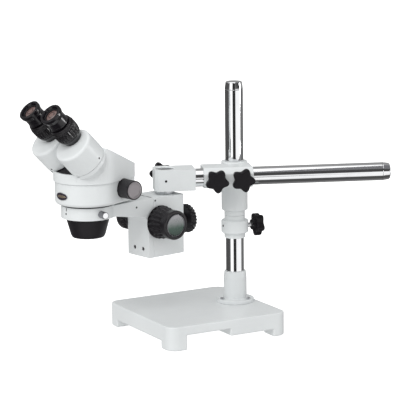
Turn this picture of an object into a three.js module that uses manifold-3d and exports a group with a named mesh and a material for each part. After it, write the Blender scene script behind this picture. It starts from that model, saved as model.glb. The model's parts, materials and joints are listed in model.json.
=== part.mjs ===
// Zoom stereo microscope on a single-arm boom stand.
// Millimetres, +Z up. The stand is laid out about the axis of its upright post, then the
// whole group is shifted so that the origin lies under the middle of its bounding box.

import * as THREE from 'three';
import { mergeVertices } from 'three/addons/utils/BufferGeometryUtils.js';
import Module from 'manifold-3d';

const wasm = await Module();
wasm.setup();

// ---------------------------------------------------------------- driving dimensions
const GAP = 0.3; // clearance left between two pieces that touch
const TUBE_R = 16; // post, boom and stub post
const TUBE_BORE_R = 13.6;
const SLIDING_BORE_R = TUBE_R + GAP;

const BASE = { left: -196.4, right: 38.1, front: -119, back: 118.2, top: 44.25, corner: 20, edge: 2.5 };
const BASE_SLAB_BOTTOM = 15.6; // underside of the thick front and rear zones
const BASE_CHANNEL = { left: -163, right: -77.6, roof: 28.3 }; // hollow that runs front to back
const BASE_FOOT = { height: 2.5, frontDepth: 33.4, rearDepth: 29, width: 35 };
const RUBBER_FOOT_R = 7;

const POST_TOP = 427;
const END_CAP = { length: 14, tipR: 14.4, plugLength: 12 };
const FLANGE = { r: 33.5, thickness: 6, socketR: 20.5, socketTop: 89.6, lipR: 19, lipTop: 100.6 };
const FLANGE_SCREW = { circleR: 26.8, headR: 3.6, headHeight: 2.4, shankR: 2.5, depth: 14 };

const COLLAR = { bottom: 161.3, bodyBottom: 169.7, bodyTop: 193.2, top: 202 };
const COLLAR_RADII = { skirt: 18.5, body: 24, neck: 18.3 };
const COLLAR_KNOB = { yaw: -8, seat: 32, turn: 180 }; // yaw is in degrees from +X
const CLAMP = { neckTop: 210.6, neckR: 18.3, sleeveR: 23.3, top: 299.5 };
const CLAMP_SECTION = { half: 18, chamfer: 10, front: 21, back: -32 }; // across the boom

const BOOM_YAW = -21.05; // degrees
const BOOM_OFFSET = 46; // the boom passes this far in front of the post
const BOOM_Z = 279.5;
const BOOM = { left: -112, right: 256 };
const CLAMP_BLOCK = { middle: -19.5, length: 87 }; // measured along the boom
const BOOM_KNOBS = { spacing: 46, drop: 2, turns: [-86, -76] };
const SWIVEL = { left: -149.6, right: -78.6, halfHeight: 18.8, halfDepth: 24, chamfer: 6.4 };
const SWIVEL_STUB_AT = -130; // along the boom
const SWIVEL_KNOB = { standOff: 12, hubLength: 9, turn: 180 };

const STAR_KNOB = { r: 21, lobes: 5, lobeDepth: 3.2, thickness: 14, hubR: 9.5, hubLength: 5, studR: 4 };

const FOCUS_YAW = 11; // degrees
const STUB = { bottom: 146.5, top: 296.6, slotWidth: 4, slotDepth: 3 };
const FOCUS_BODY = { front: -49.5, back: 18.3, halfWidth: 29.5, bottom: 150.8, top: 254.5 };
const DOVETAIL = { mouth: 15, root: 19, depth: 6 };
const FOCUS_AXLE = { x: -38, z: 213, r: 4 };
const PINION = { r: 5.6, teeth: 20, halfLength: 5 };
const CLAMP_WHEEL = { z: 203, front: 42, thickness: 12, r: 25.5, ribs: 24, hubR: 9 };
const WHEEL_BOSS = { r: 12, end: 29.5 };
const TENSION_COLLAR = { r: 29, waistR: 27.2, bossR: 11, boss: 3, width: 12.9 }; // right side only
const FOCUS_KNOB = { length: 30, baseR: 27, waistR: 24, faceR: 25.4, recessR: 19.4, recess: 2.6 };
const RACK = { halfWidth: 4.5, toothPitch: 0.6 * Math.PI, toothDepth: 1.2, bodyDepth: 2.6 };
const BRACKET = { front: -60, back: -50.1, top: 255.5, armBottom: 224.8, fillet: 14 };
const RING = { x: -168.5, outerR: 45.4, innerR: 38, bottom: 235.8, top: 257 };
const BRACKET_SCREW = { spacing: 23.2, z: 165.2, headR: 3.2, shankR: 2 };
const THUMB_SCREW = { yaw: 262, z: 246.3, shankR: 3, headR: 6, headLength: 15.5 };

const HEAD = { drumR: 55, bottom: 259.8, seam: 298.8, rear: 77.5, rearHalf: 36, rearCorner: 8, edge: 6 };
const HEAD_NECK = { r: 37.4, shoulderR: 43, bottom: 236.2, boreR: 30 };
const UPPER = { drumR: 57.4, rimTop: 316, apexX: -21, apexZ: 368.5, rearZ: 322 };
const SHROUD = { topR: 37.6, bottomR: 28.8, bottom: 201.2, top: 235.9, spigotTop: 250, wall: 3.4 };
const ZOOM = { x: 42, z: 285, knobR: 16.3, knobEnd: 76, boss: 43.5, shaftR: 4, drumR: 8 };
const ZOOM_CARRIER = { lower: 271, upper: 284.5, thickness: 5, cellR: 9, cellY: 16 }; // at mid zoom
const ZOOM_CAP_R = 14.4;
const OPTICS_WELL = { r: 44, floor: 6, wall: 7 };
const BADGE_PLAQUE = { yaw: 181, z: 277, halfWidth: 15, halfHeight: 6.6, thickness: 0.7 };

const TUBE_TILT = 45; // eyepiece tubes lean this far forward from the vertical, degrees
const TUBE_SPLAY = 1.5; // and this far outward each, degrees
const PRISM_HOUSING = { x: -56, y: 35.1, z: 369.4, r: 33.8, length: 42, wall: 5 };
const SEAT_PLATE = { top: -43.6, thickness: 3 }; // heights along the tubes
const EYE_OFFSET = { up: 11, inward: 6.9 }; // eyepiece axis from the housing's own axis
const EYE_TUBE = { baseR: 16.4, flangeR: 20.2, flangeTop: 11.7, r: 15, bore: 12, top: 35 };
const DIOPTER = { bottom: 12, top: 38.4, r: 22 };
const EYEPIECE = { bottom: 17, shoulder: 40.5, rimTop: 66.6, rimR: 19.4, bodyR: 17.8, barrelR: 11.7 };

// ---------------------------------------------------------------- finishes
const PAINT = { color: 0xdde0e2, roughness: 0.42, metalness: 0 };
const CHROME = { color: 0xe6e7ea, roughness: 0.08, metalness: 1 };
const STEEL = { color: 0xb9bcc0, roughness: 0.3, metalness: 1 };
const BRASS = { color: 0xb9963f, roughness: 0.35, metalness: 1 };
const BLACK = { color: 0x201d22, roughness: 0.5, metalness: 0 };
const RUBBER = { color: 0x17171a, roughness: 0.85, metalness: 0 };
const GLASS = { color: 0x5a4844, roughness: 0.05, metalness: 0 };
const DISC = { color: 0x8d8789, roughness: 0.35, metalness: 0.8 };
const BADGE = { color: 0x3a3640, roughness: 0.35, metalness: 0.4 };

// ---------------------------------------------------------------- solids
const FINE = 32; // facets round a large turned piece
const MEDIUM = 20;
const COARSE = 12;
const MERGE_DISTANCE = 1e-4;

function signedVolume(positions, corners) {
  const a = new THREE.Vector3();
  const b = new THREE.Vector3();
  const c = new THREE.Vector3();
  let volume = 0;
  for (let i = 0; i < corners.length; i += 3) {
    a.fromArray(positions, 3 * corners[i]);
    b.fromArray(positions, 3 * corners[i + 1]);
    c.fromArray(positions, 3 * corners[i + 2]);
    volume += a.dot(b.cross(c)) / 6;
  }
  return volume;
}

function toGeometry(shape) {
  const { vertProperties, triVerts } = shape.getMesh();
  const geometry = new THREE.BufferGeometry();
  geometry.setAttribute('position', new THREE.BufferAttribute(new Float32Array(vertProperties), 3));
  geometry.setIndex(new THREE.BufferAttribute(new Uint32Array(triVerts), 1));
  return geometry;
}

// Closed geometry to solid, with its faces turned outward.
function solid(geometry) {
  geometry.deleteAttribute('normal');
  geometry.deleteAttribute('uv');
  const merged = mergeVertices(geometry, MERGE_DISTANCE);
  const positions = merged.getAttribute('position').array;
  let corners = [];
  for (let i = 0; i < merged.index.count; i += 3) {
    const [a, b, c] = [0, 1, 2].map((k) => merged.index.getX(i + k));
    if (a !== b && b !== c && c !== a) corners.push(a, b, c);
  }
  if (signedVolume(positions, corners) < 0) corners = corners.reverse();
  return new wasm.Manifold(new wasm.Mesh({
    numProp: 3,
    vertProperties: new Float32Array(positions),
    triVerts: new Uint32Array(corners),
  }));
}

// A solid moved and turned to another place (angles in degrees).
function placed(shape, [x, y, z], angles = {}) {
  const geometry = toGeometry(shape);
  geometry.rotateX(radians(angles.x ?? 0));
  geometry.rotateY(radians(angles.y ?? 0));
  geometry.rotateZ(radians(angles.z ?? 0));
  return solid(geometry.translate(x, y, z));
}

function join(first, ...others) {
  return others.reduce((whole, other) => whole.add(other), first);
}

function cut(first, ...others) {
  return others.reduce((whole, other) => whole.subtract(other), first);
}

// Turn a geometry built along +Z to point along a direction, and move it to a start point.
function aim(geometry, start, direction) {
  const toward = new THREE.Vector3(...direction).normalize();
  const turn = new THREE.Quaternion().setFromUnitVectors(new THREE.Vector3(0, 0, 1), toward);
  geometry.applyQuaternion(turn);
  return geometry.translate(...start);
}

const UP = [0, 0, 1];

// Body of revolution about +Z (or a given axis) from [radius, height] pairs.
function turned(profile, segments = FINE, start = [0, 0, 0], direction = UP) {
  const points = profile.map(([r, z]) => new THREE.Vector2(r, z));
  const geometry = new THREE.LatheGeometry(points, segments).rotateX(Math.PI / 2);
  return solid(aim(geometry, start, direction));
}

// Turned ring or sleeve: the profile closes on itself.
function turnedRing(profile, segments = FINE, start = [0, 0, 0], direction = UP) {
  return turned([...profile, profile[0]], segments, start, direction);
}

function rod(radius, from, to, segments = COARSE, start = [0, 0, 0], direction = UP) {
  return turned([[0, from], [radius, from], [radius, to], [0, to]], segments, start, direction);
}

function tube(outerR, innerR, from, to, segments = FINE) {
  return turnedRing([[innerR, from], [outerR, from], [outerR, to], [innerR, to]], segments);
}

function block([x0, y0, z0], [x1, y1, z1]) {
  const geometry = new THREE.BoxGeometry(x1 - x0, y1 - y0, z1 - z0);
  return solid(geometry.translate((x0 + x1) / 2, (y0 + y1) / 2, (z0 + z1) / 2));
}

// Outline in the XY plane, extruded from one height to another with softened edges.
function slab(shape, bottom, top, edge = 0, curveSegments = 5) {
  const geometry = new THREE.ExtrudeGeometry(shape, {
    depth: top - bottom - 2 * edge,
    bevelEnabled: edge > 0,
    bevelThickness: edge,
    bevelSize: edge,
    bevelOffset: -edge,
    bevelSegments: 2,
    curveSegments,
  });
  return solid(geometry.translate(0, 0, bottom + edge));
}

// Outline in the XZ plane, extruded along Y from one side to the other.
function profileAcross(shape, halfWidth, curveSegments = 6) {
  const options = { depth: 2 * halfWidth, bevelEnabled: false, curveSegments };
  const geometry = new THREE.ExtrudeGeometry(shape, options);
  geometry.rotateX(Math.PI / 2);
  return solid(geometry.translate(0, halfWidth, 0));
}

function roundedRect(left, right, front, back, r) {
  const shape = new THREE.Shape();
  shape.moveTo(left + r, front);
  shape.lineTo(right - r, front);
  shape.absarc(right - r, front + r, r, -Math.PI / 2, 0);
  shape.lineTo(right, back - r);
  shape.absarc(right - r, back - r, r, 0, Math.PI / 2);
  shape.lineTo(left + r, back);
  shape.absarc(left + r, back - r, r, Math.PI / 2, Math.PI);
  shape.lineTo(left, front + r);
  shape.absarc(left + r, front + r, r, Math.PI, 1.5 * Math.PI);
  return shape;
}

function polygon(points) {
  return new THREE.Shape(points.map(([x, y]) => new THREE.Vector2(x, y)));
}

const radians = THREE.MathUtils.degToRad;

function heading(yaw) {
  return [Math.cos(radians(yaw)), Math.sin(radians(yaw)), 0];
}

function pointAt(yaw, distance, z) {
  return [distance * Math.cos(radians(yaw)), distance * Math.sin(radians(yaw)), z];
}

// Add a solid to a group as a named mesh.
function piece(group, name, shape, finish) {
  const geometry = toGeometry(shape);
  geometry.computeVertexNormals();
  const mesh = new THREE.Mesh(geometry, new THREE.MeshStandardMaterial(finish));
  mesh.name = name;
  group.add(mesh);
}

function subgroup(parent, [x, y, z], rotation = {}) {
  const group = new THREE.Group();
  group.position.set(x, y, z);
  group.rotation.set(radians(rotation.x ?? 0), radians(rotation.y ?? 0), radians(rotation.z ?? 0));
  parent.add(group);
  return group;
}

// ---------------------------------------------------------------- shared hardware
function starOutline({ r, lobes, lobeDepth }, phase) {
  const stepsPerLobe = 6;
  const steps = lobes * stepsPerLobe;
  const points = [];
  for (let i = 0; i < steps; i += 1) {
    const angle = (2 * Math.PI * i) / steps;
    const radius = r - lobeDepth + lobeDepth * Math.cos(lobes * angle);
    points.push([radius * Math.cos(angle + phase), radius * Math.sin(angle + phase)]);
  }
  return polygon(points);
}

// Star-knob clamp screw. It points along `direction`; its stud starts at `tip` from the axis
// origin and the knob's hub starts at `seat`. `turn` (degrees) sets where its lobes point.
function starScrew(origin, direction, tip, seat, turn = 0, hubLength = STAR_KNOB.hubLength) {
  const { thickness, hubR, studR } = STAR_KNOB;
  const star = new THREE.ExtrudeGeometry(starOutline(STAR_KNOB, radians(turn)), {
    depth: thickness - 4,
    bevelThickness: 2,
    bevelSize: 2,
    bevelOffset: -2,
    bevelSegments: 1,
  });
  star.translate(0, 0, seat + hubLength + 2);
  const stem = turned([
    [0, tip],
    [studR, tip],
    [studR, seat],
    [hubR, seat],
    [hubR + 1.5, seat + hubLength + 1],
    [0, seat + hubLength + 1],
  ], COARSE, origin, direction);
  return join(solid(aim(star, origin, direction)), stem);
}

function studHole(origin, direction, from, to) {
  return rod(STAR_KNOB.studR + GAP, from, to, COARSE, origin, direction);
}

// Tapered end cap pressed into an open tube; it starts at `end` and runs along `direction`.
function endCap(end, direction) {
  const { length, tipR, plugLength } = END_CAP;
  return turned([
    [0, -plugLength],
    [TUBE_BORE_R - GAP, -plugLength],
    [TUBE_BORE_R - GAP, GAP],
    [TUBE_R, GAP],
    [TUBE_R, 2],
    [tipR, length],
    [0, length],
  ], FINE, end, direction);
}

// ---------------------------------------------------------------- base and post
function basePlate() {
  const { left, right, front, back, top, corner, edge } = BASE;
  const { height, frontDepth, rearDepth, width } = BASE_FOOT;
  const body = slab(roundedRect(left, right, front, back, corner), height, top, edge);
  const margin = 5;
  const channel = block(
    [BASE_CHANNEL.left, front - margin, 0],
    [BASE_CHANNEL.right, back + margin, BASE_CHANNEL.roof],
  );
  const underFront = block(
    [left - margin, front + width, 0],
    [left + frontDepth + 0.1, back - width, BASE_SLAB_BOTTOM],
  );
  const underMiddle = block(
    [BASE_CHANNEL.right - 1, front - margin, 0],
    [right - rearDepth, back + margin, BASE_SLAB_BOTTOM],
  );
  const underRear = block(
    [right - rearDepth - 1, front + width, 0],
    [right + margin, back - width, BASE_SLAB_BOTTOM],
  );
  const screwHoles = flangeScrewYaws().map((yaw) => {
    const { circleR, shankR, depth } = FLANGE_SCREW;
    return rod(shankR + GAP, top - depth, top + 1, COARSE, pointAt(yaw, circleR, 0));
  });
  return cut(body, channel, underFront, underMiddle, underRear, ...screwHoles);
}

function footPositions() {
  const { left, right, front, back } = BASE;
  const { frontDepth, rearDepth, width } = BASE_FOOT;
  return [
    ['front_right', left + frontDepth / 2 + 2, front + width / 2 + 1],
    ['front_left', left + frontDepth / 2 + 2, back - width / 2 - 1],
    ['rear_right', right - rearDepth / 2 - 1, front + width / 2 + 1],
    ['rear_left', right - rearDepth / 2 - 1, back - width / 2 - 1],
  ];
}

function flangeScrewYaws() {
  return [60, 180, 300];
}

function postFlange() {
  const { r, thickness, socketR, socketTop, lipR, lipTop } = FLANGE;
  const bottom = BASE.top + GAP;
  const plateTop = bottom + thickness;
  const body = turnedRing([
    [SLIDING_BORE_R, bottom],
    [r, bottom],
    [r, plateTop],
    [socketR, plateTop],
    [socketR, socketTop],
    [lipR, lipTop],
    [SLIDING_BORE_R, lipTop],
  ]);
  const { circleR, shankR } = FLANGE_SCREW;
  const holes = flangeScrewYaws().map((yaw) => (
    rod(shankR + GAP, bottom - 1, plateTop + 1, COARSE, pointAt(yaw, circleR, 0))
  ));
  return cut(body, ...holes);
}

function flangeScrew(yaw) {
  const { circleR, headR, headHeight, shankR, depth } = FLANGE_SCREW;
  const seat = BASE.top + GAP + FLANGE.thickness + GAP;
  const body = turned([
    [0, BASE.top - depth + 1],
    [shankR, BASE.top - depth + 1],
    [shankR, seat],
    [headR, seat],
    [headR, seat + headHeight],
    [0, seat + headHeight],
  ], COARSE, pointAt(yaw, circleR, 0));
  const socketFloor = seat + headHeight / 3;
  const socket = rod(headR / 3, socketFloor, seat + headHeight + 1, 6, pointAt(yaw, circleR, 0));
  return cut(body, socket);
}

function buildBase(root) {
  piece(root, 'base_plate', basePlate(), PAINT);
  footPositions().forEach(([where, x, y]) => {
    const foot = turned([
      [0, 0],
      [RUBBER_FOOT_R, 0],
      [RUBBER_FOOT_R, BASE_FOOT.height - GAP],
      [0, BASE_FOOT.height - GAP],
    ], 18, [x, y, 0]);
    piece(root, `rubber_foot_${where}`, foot, RUBBER);
  });
  piece(root, 'post_flange', postFlange(), PAINT);
  flangeScrewYaws().forEach((yaw, i) => {
    piece(root, `flange_screw_${i + 1}`, flangeScrew(yaw), STEEL);
  });
  piece(root, 'post_tube', tube(TUBE_R, TUBE_BORE_R, BASE.top + GAP, POST_TOP), CHROME);
  piece(root, 'post_cap', endCap([0, 0, POST_TOP], UP), CHROME);
}

// ---------------------------------------------------------------- safety collar and cross clamp
function safetyCollar() {
  const { bottom, bodyBottom, bodyTop, top } = COLLAR;
  const { skirt, body: bodyR, neck } = COLLAR_RADII;
  const body = turnedRing([
    [SLIDING_BORE_R, bottom],
    [skirt, bottom],
    [skirt, bodyBottom - 2],
    [bodyR, bodyBottom + 2],
    [bodyR, bodyTop],
    [neck, bodyTop],
    [neck, top],
    [SLIDING_BORE_R, top],
  ]);
  return cut(body, studHole(collarMiddle(), heading(COLLAR_KNOB.yaw), TUBE_R - 4, bodyR + 4));
}

function collarMiddle() {
  return [0, 0, (COLLAR.bodyBottom + COLLAR.bodyTop) / 2];
}

// Built in the boom's frame: origin on the post axis at boom height, boom along X at -Y.
function crossClamp() {
  const { neckTop, neckR, sleeveR, top } = CLAMP;
  const { half, chamfer, front, back } = CLAMP_SECTION;
  const { middle, length } = CLAMP_BLOCK;
  const low = COLLAR.top + GAP - BOOM_Z;
  const sleeve = turned([
    [0, low],
    [neckR, low],
    [neckR, neckTop - BOOM_Z - 1],
    [sleeveR, neckTop - BOOM_Z + 2],
    [sleeveR, top - BOOM_Z],
    [0, top - BOOM_Z],
  ]);
  const section = polygon([
    [back, -half],
    [front - chamfer, -half],
    [front, chamfer - half],
    [front, half - chamfer],
    [front - chamfer, half],
    [back, half],
  ]);
  const bar = new THREE.ExtrudeGeometry(section, { depth: length, bevelEnabled: false });
  bar.rotateX(Math.PI / 2).rotateZ(-Math.PI / 2);
  const barrel = solid(bar.translate(middle + length / 2, -BOOM_OFFSET, 0));
  const postBore = rod(SLIDING_BORE_R, low - 1, top - BOOM_Z + 1, FINE);
  const along = [1, 0, 0];
  const boomBore = rod(SLIDING_BORE_R, middle - length, middle + length, FINE, [0, -BOOM_OFFSET, 0], along);
  const holes = boomKnobOrigins().map((origin) => (
    studHole(origin, [0, -1, 0], TUBE_R - 4, front + 4)
  ));
  return cut(join(sleeve, barrel), postBore, boomBore, ...holes);
}

function boomKnobOrigins() {
  const { spacing, drop } = BOOM_KNOBS;
  return [-spacing / 2, spacing / 2].map((x) => [CLAMP_BLOCK.middle + x, -BOOM_OFFSET, -drop]);
}

function buildClamp(root) {
  piece(root, 'safety_collar', safetyCollar(), PAINT);
  const { yaw, seat, turn } = COLLAR_KNOB;
  const collarScrew = starScrew(collarMiddle(), heading(yaw), TUBE_R + GAP, seat, turn);
  piece(root, 'collar_knob', collarScrew, BLACK);
  const boomFrame = subgroup(root, [0, 0, BOOM_Z], { z: BOOM_YAW });
  piece(boomFrame, 'cross_clamp', crossClamp(), PAINT);
  boomKnobOrigins().forEach((origin, i) => {
    const knobSeat = CLAMP_SECTION.front + GAP;
    const screw = starScrew(origin, [0, -1, 0], TUBE_R + GAP, knobSeat, BOOM_KNOBS.turns[i]);
    piece(boomFrame, `boom_knob_${i + 1}`, screw, BLACK);
  });
  return boomFrame;
}

// ---------------------------------------------------------------- boom and swivel block
function boomTube() {
  return turnedRing([
    [TUBE_BORE_R, BOOM.left],
    [TUBE_R, BOOM.left],
    [TUBE_R, BOOM.right],
    [TUBE_BORE_R, BOOM.right],
  ], FINE, [0, -BOOM_OFFSET, 0], [1, 0, 0]);
}

function swivelBlock() {
  const { left, right, halfHeight, halfDepth, chamfer } = SWIVEL;
  const outline = polygon([
    [left, -halfDepth + chamfer],
    [left + chamfer, -halfDepth],
    [right, -halfDepth],
    [right, halfDepth],
    [left + chamfer, halfDepth],
    [left, halfDepth - chamfer],
  ]);
  const body = slab(outline, -halfHeight, halfHeight, 0.8);
  const stubBore = turned([
    [0, -halfHeight - 1],
    [SLIDING_BORE_R, -halfHeight - 1],
    [SLIDING_BORE_R, halfHeight - 1.5],
    [SLIDING_BORE_R + 2, halfHeight + 0.5],
    [0, halfHeight + 0.5],
  ], FINE, [SWIVEL_STUB_AT, 0, 0]);
  const boomBore = rod(SLIDING_BORE_R, BOOM.left - GAP, right + 2, FINE, [0, 0, 0], [1, 0, 0]);
  const knobHole = studHole([SWIVEL_STUB_AT, 0, 0], [0, 1, 0], TUBE_R - 4, halfDepth + 4);
  return placed(cut(body, stubBore, boomBore, knobHole), [0, -BOOM_OFFSET, 0]);
}

function buildBoom(boomFrame) {
  piece(boomFrame, 'boom_tube', boomTube(), CHROME);
  piece(boomFrame, 'boom_cap', endCap([BOOM.right, -BOOM_OFFSET, 0], [1, 0, 0]), CHROME);
  piece(boomFrame, 'swivel_block', swivelBlock(), PAINT);
  const { standOff, hubLength, turn } = SWIVEL_KNOB;
  const seat = SWIVEL.halfDepth + standOff;
  const origin = [SWIVEL_STUB_AT, -BOOM_OFFSET, 0];
  const screw = starScrew(origin, [0, 1, 0], TUBE_R + GAP, seat, turn, hubLength);
  piece(boomFrame, 'swivel_knob', screw, BLACK);
}

// ---------------------------------------------------------------- focus mount
function stubPost() {
  const { bottom, top, slotWidth, slotDepth } = STUB;
  const body = turned([
    [0, bottom],
    [TUBE_R - 1, bottom],
    [TUBE_R, bottom + 1],
    [TUBE_R, top],
    [0, top],
  ]);
  const slot = block(
    [-TUBE_R - 1, -slotWidth / 2, top - slotDepth],
    [TUBE_R + 1, slotWidth / 2, top + 1],
  );
  return cut(body, slot);
}

// Dovetail section along X, from its mouth at `front`, grown by `ease` on each flank.
function dovetailOutline(front, depth, ease) {
  const { mouth, root } = DOVETAIL;
  return polygon([
    [front, -mouth - ease],
    [front + depth, -root - ease],
    [front + depth, root + ease],
    [front, mouth + ease],
  ]);
}

function focusBody() {
  const { front, back, halfWidth, bottom, top } = FOCUS_BODY;
  const margin = 2;
  const shell = slab(roundedRect(front, back, -halfWidth, halfWidth, 2), bottom, top, 0, 2);
  const wheelAxis = [0, 0, CLAMP_WHEEL.z];
  const boss = rod(WHEEL_BOSS.r, TUBE_R + 1, WHEEL_BOSS.end, 24, wheelAxis, [1, 0, 0]);
  const stubBore = rod(SLIDING_BORE_R, bottom - margin, top + margin, FINE);
  const groove = slab(dovetailOutline(front - 0.01, DOVETAIL.depth, GAP), bottom - margin, top + margin);
  const axle = [FOCUS_AXLE.x, 0, FOCUS_AXLE.z];
  const across = [0, 1, 0];
  const axleR = FOCUS_AXLE.r + GAP;
  const axleBore = rod(axleR, -halfWidth - 2 * margin, halfWidth + margin, COARSE, axle, across);
  const { bossR, boss: bossHeight } = TENSION_COLLAR;
  const collarBoss = rod(bossR, 12, halfWidth + bossHeight, 24, axle, [0, -1, 0]);
  const pocketHalf = PINION.halfLength + 1;
  const pinionPocket = rod(PINION.r + 1.4, -pocketHalf, pocketHalf, COARSE, axle, across);
  const wheelHole = studHole(wheelAxis, [1, 0, 0], TUBE_R - 4, WHEEL_BOSS.end + margin);
  return cut(join(shell, boss, collarBoss), stubBore, groove, axleBore, pinionPocket, wheelHole);
}

function clampWheel() {
  const { z, front, thickness, r, hubR, ribs } = CLAMP_WHEEL;
  const hubStart = WHEEL_BOSS.end + GAP;
  const points = [];
  for (let i = 0; i < 2 * ribs; i += 1) {
    const radius = i % 2 ? r : r - 1.2;
    const angle = (Math.PI * i) / ribs;
    points.push([radius * Math.cos(angle), radius * Math.sin(angle)]);
  }
  const rim = new THREE.ExtrudeGeometry(polygon(points), {
    depth: thickness - 3,
    bevelThickness: 1.5,
    bevelSize: 1.5,
    bevelOffset: -1.5,
    bevelSegments: 1,
  });
  rim.translate(0, 0, front + 1.5);
  const stem = turned([
    [0, TUBE_R + GAP],
    [STAR_KNOB.studR, TUBE_R + GAP],
    [STAR_KNOB.studR, hubStart],
    [hubR, hubStart],
    [hubR, front + 2],
    [0, front + 2],
  ], 24, [0, 0, z], [1, 0, 0]);
  return join(solid(aim(rim, [0, 0, z], [1, 0, 0])), stem);
}

function focusShaft() {
  const { x, z, r } = FOCUS_AXLE;
  const [rightEnd, leftEnd] = [-1, 1].map((side) => focusKnobStart(side) + FOCUS_KNOB.length - 5);
  const shaft = rod(r, -rightEnd, leftEnd, COARSE, [x, 0, z], [0, 1, 0]);
  const points = [];
  for (let i = 0; i < 2 * PINION.teeth; i += 1) {
    const radius = i % 2 ? PINION.r : PINION.r - 1.2;
    const angle = (Math.PI * i) / PINION.teeth;
    points.push([radius * Math.cos(angle), radius * Math.sin(angle)]);
  }
  const gear = new THREE.ExtrudeGeometry(polygon(points), {
    depth: 2 * PINION.halfLength,
    bevelEnabled: false,
  });
  return join(shaft, solid(aim(gear, [x, -PINION.halfLength, z], [0, 1, 0])));
}

// side is -1 for the right knob (toward -Y) and +1 for the left one.
function focusKnobStart(side) {
  const face = FOCUS_BODY.halfWidth + GAP;
  return side < 0 ? face + TENSION_COLLAR.boss + TENSION_COLLAR.width + GAP : face;
}

function tensionCollar() {
  const { r, waistR, boss, width } = TENSION_COLLAR;
  const start = FOCUS_BODY.halfWidth + boss + GAP;
  return turnedRing([
    [FOCUS_AXLE.r + GAP, start],
    [r, start],
    [r, start + width - 4],
    [waistR, start + width],
    [FOCUS_AXLE.r + GAP, start + width],
  ], FINE, [FOCUS_AXLE.x, 0, FOCUS_AXLE.z], [0, -1, 0]);
}

function focusKnob(side) {
  const { length, baseR, waistR, faceR, recessR, recess } = FOCUS_KNOB;
  const boreR = FOCUS_AXLE.r + GAP;
  const start = focusKnobStart(side);
  const end = start + length;
  return turnedRing([
    [boreR, start],
    [baseR, start],
    [waistR, start + 12],
    [faceR, start + 18],
    [faceR, end],
    [recessR, end],
    [recessR, end - recess],
    [boreR, end - recess],
  ], FINE, [FOCUS_AXLE.x, 0, FOCUS_AXLE.z], [0, side, 0]);
}

function focusCap(side) {
  const end = focusKnobStart(side) + FOCUS_KNOB.length;
  const back = end - FOCUS_KNOB.recess + 0.4;
  const face = end + 0.2;
  return turned([
    [0, back],
    [FOCUS_KNOB.recessR - GAP, back],
    [FOCUS_KNOB.recessR - GAP, face],
    [0, face],
  ], FINE, [FOCUS_AXLE.x, 0, FOCUS_AXLE.z], [0, side, 0]);
}

function buildFocusMount(root) {
  const [alongX, alongY] = heading(BOOM_YAW);
  const stubX = SWIVEL_STUB_AT * alongX + BOOM_OFFSET * alongY;
  const stubY = SWIVEL_STUB_AT * alongY - BOOM_OFFSET * alongX;
  const mount = subgroup(root, [stubX, stubY, 0], { z: FOCUS_YAW });
  piece(mount, 'stub_post', stubPost(), STEEL);
  piece(mount, 'focus_body', focusBody(), PAINT);
  piece(mount, 'stub_clamp_wheel', clampWheel(), BLACK);
  piece(mount, 'focus_shaft', focusShaft(), STEEL);
  piece(mount, 'tension_collar', tensionCollar(), BLACK);
  [['right', -1], ['left', 1]].forEach(([where, side]) => {
    piece(mount, `focus_knob_${where}`, focusKnob(side), BLACK);
    piece(mount, `focus_cap_${where}`, focusCap(side), DISC);
  });
  return mount;
}

// ---------------------------------------------------------------- moving bracket and head ring
function bracketArmOutline() {
  const { halfWidth } = FOCUS_BODY;
  const { x, outerR } = RING;
  const shape = new THREE.Shape();
  const join = radians(55); // where the arm's flanks meet the ring, from +X
  shape.moveTo(BRACKET.back, -halfWidth);
  shape.lineTo(BRACKET.back, halfWidth);
  shape.lineTo(BRACKET.front - 30, halfWidth);
  shape.absarc(x, 0, outerR, join, 2 * Math.PI - join);
  shape.lineTo(BRACKET.front - 30, -halfWidth);
  return shape;
}

function focusBracket() {
  const { front, back, top, armBottom, fillet } = BRACKET;
  const { halfWidth, bottom } = FOCUS_BODY;
  const plate = block([front, -halfWidth, bottom], [back, halfWidth, top]);
  const arm = slab(bracketArmOutline(), RING.bottom, RING.top, 0, 14);
  const web = new THREE.Shape();
  web.moveTo(back, armBottom - fillet);
  web.lineTo(back, RING.bottom + 1);
  web.lineTo(RING.x + RING.innerR - 10, RING.bottom + 1);
  web.lineTo(RING.x + RING.innerR - 10, RING.bottom);
  web.lineTo(front - fillet, armBottom);
  web.absarc(front - fillet, armBottom - fillet, fillet, Math.PI / 2, 0, true);
  const knee = profileAcross(web, halfWidth);
  const bore = rod(RING.innerR, RING.bottom - 2, RING.top + 2, FINE, [RING.x, 0, 0]);
  const thumbHole = rod(THUMB_SCREW.shankR + GAP, RING.innerR - 3, RING.outerR + 3, COARSE,
    [RING.x, 0, THUMB_SCREW.z], heading(THUMB_SCREW.yaw));
  const holes = bracketScrewSides().flatMap((y) => [
    rod(BRACKET_SCREW.headR + GAP, front - 1, front + 4, COARSE, [0, y, BRACKET_SCREW.z], [1, 0, 0]),
    rod(BRACKET_SCREW.shankR + GAP, front, back + 1, COARSE, [0, y, BRACKET_SCREW.z], [1, 0, 0]),
  ]);
  const level = block([front - 200, -80, RING.bottom - 40], [back + 1, 80, top]);
  const levelled = join(plate, arm.intersect(level), knee);
  const collarTop = placed(tube(RING.outerR, RING.innerR - 1, top - 1, RING.top), [RING.x, 0, 0]);
  return cut(join(levelled, collarTop), bore, thumbHole, ...holes);
}

function bracketScrewSides() {
  return [-BRACKET_SCREW.spacing / 2, BRACKET_SCREW.spacing / 2];
}

function bracketScrew(y) {
  const { z, headR, shankR } = BRACKET_SCREW;
  const seat = BRACKET.front + 4 - GAP;
  const body = turned([
    [0, seat - 2.6],
    [headR, seat - 2.6],
    [headR, seat],
    [shankR, seat],
    [shankR, BRACKET.back + 5],
    [0, BRACKET.back + 5],
  ], COARSE, [0, y, z], [1, 0, 0]);
  return cut(body, rod(1.5, seat - 4, seat - 1.2, 6, [0, y, z], [1, 0, 0]));
}

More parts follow.
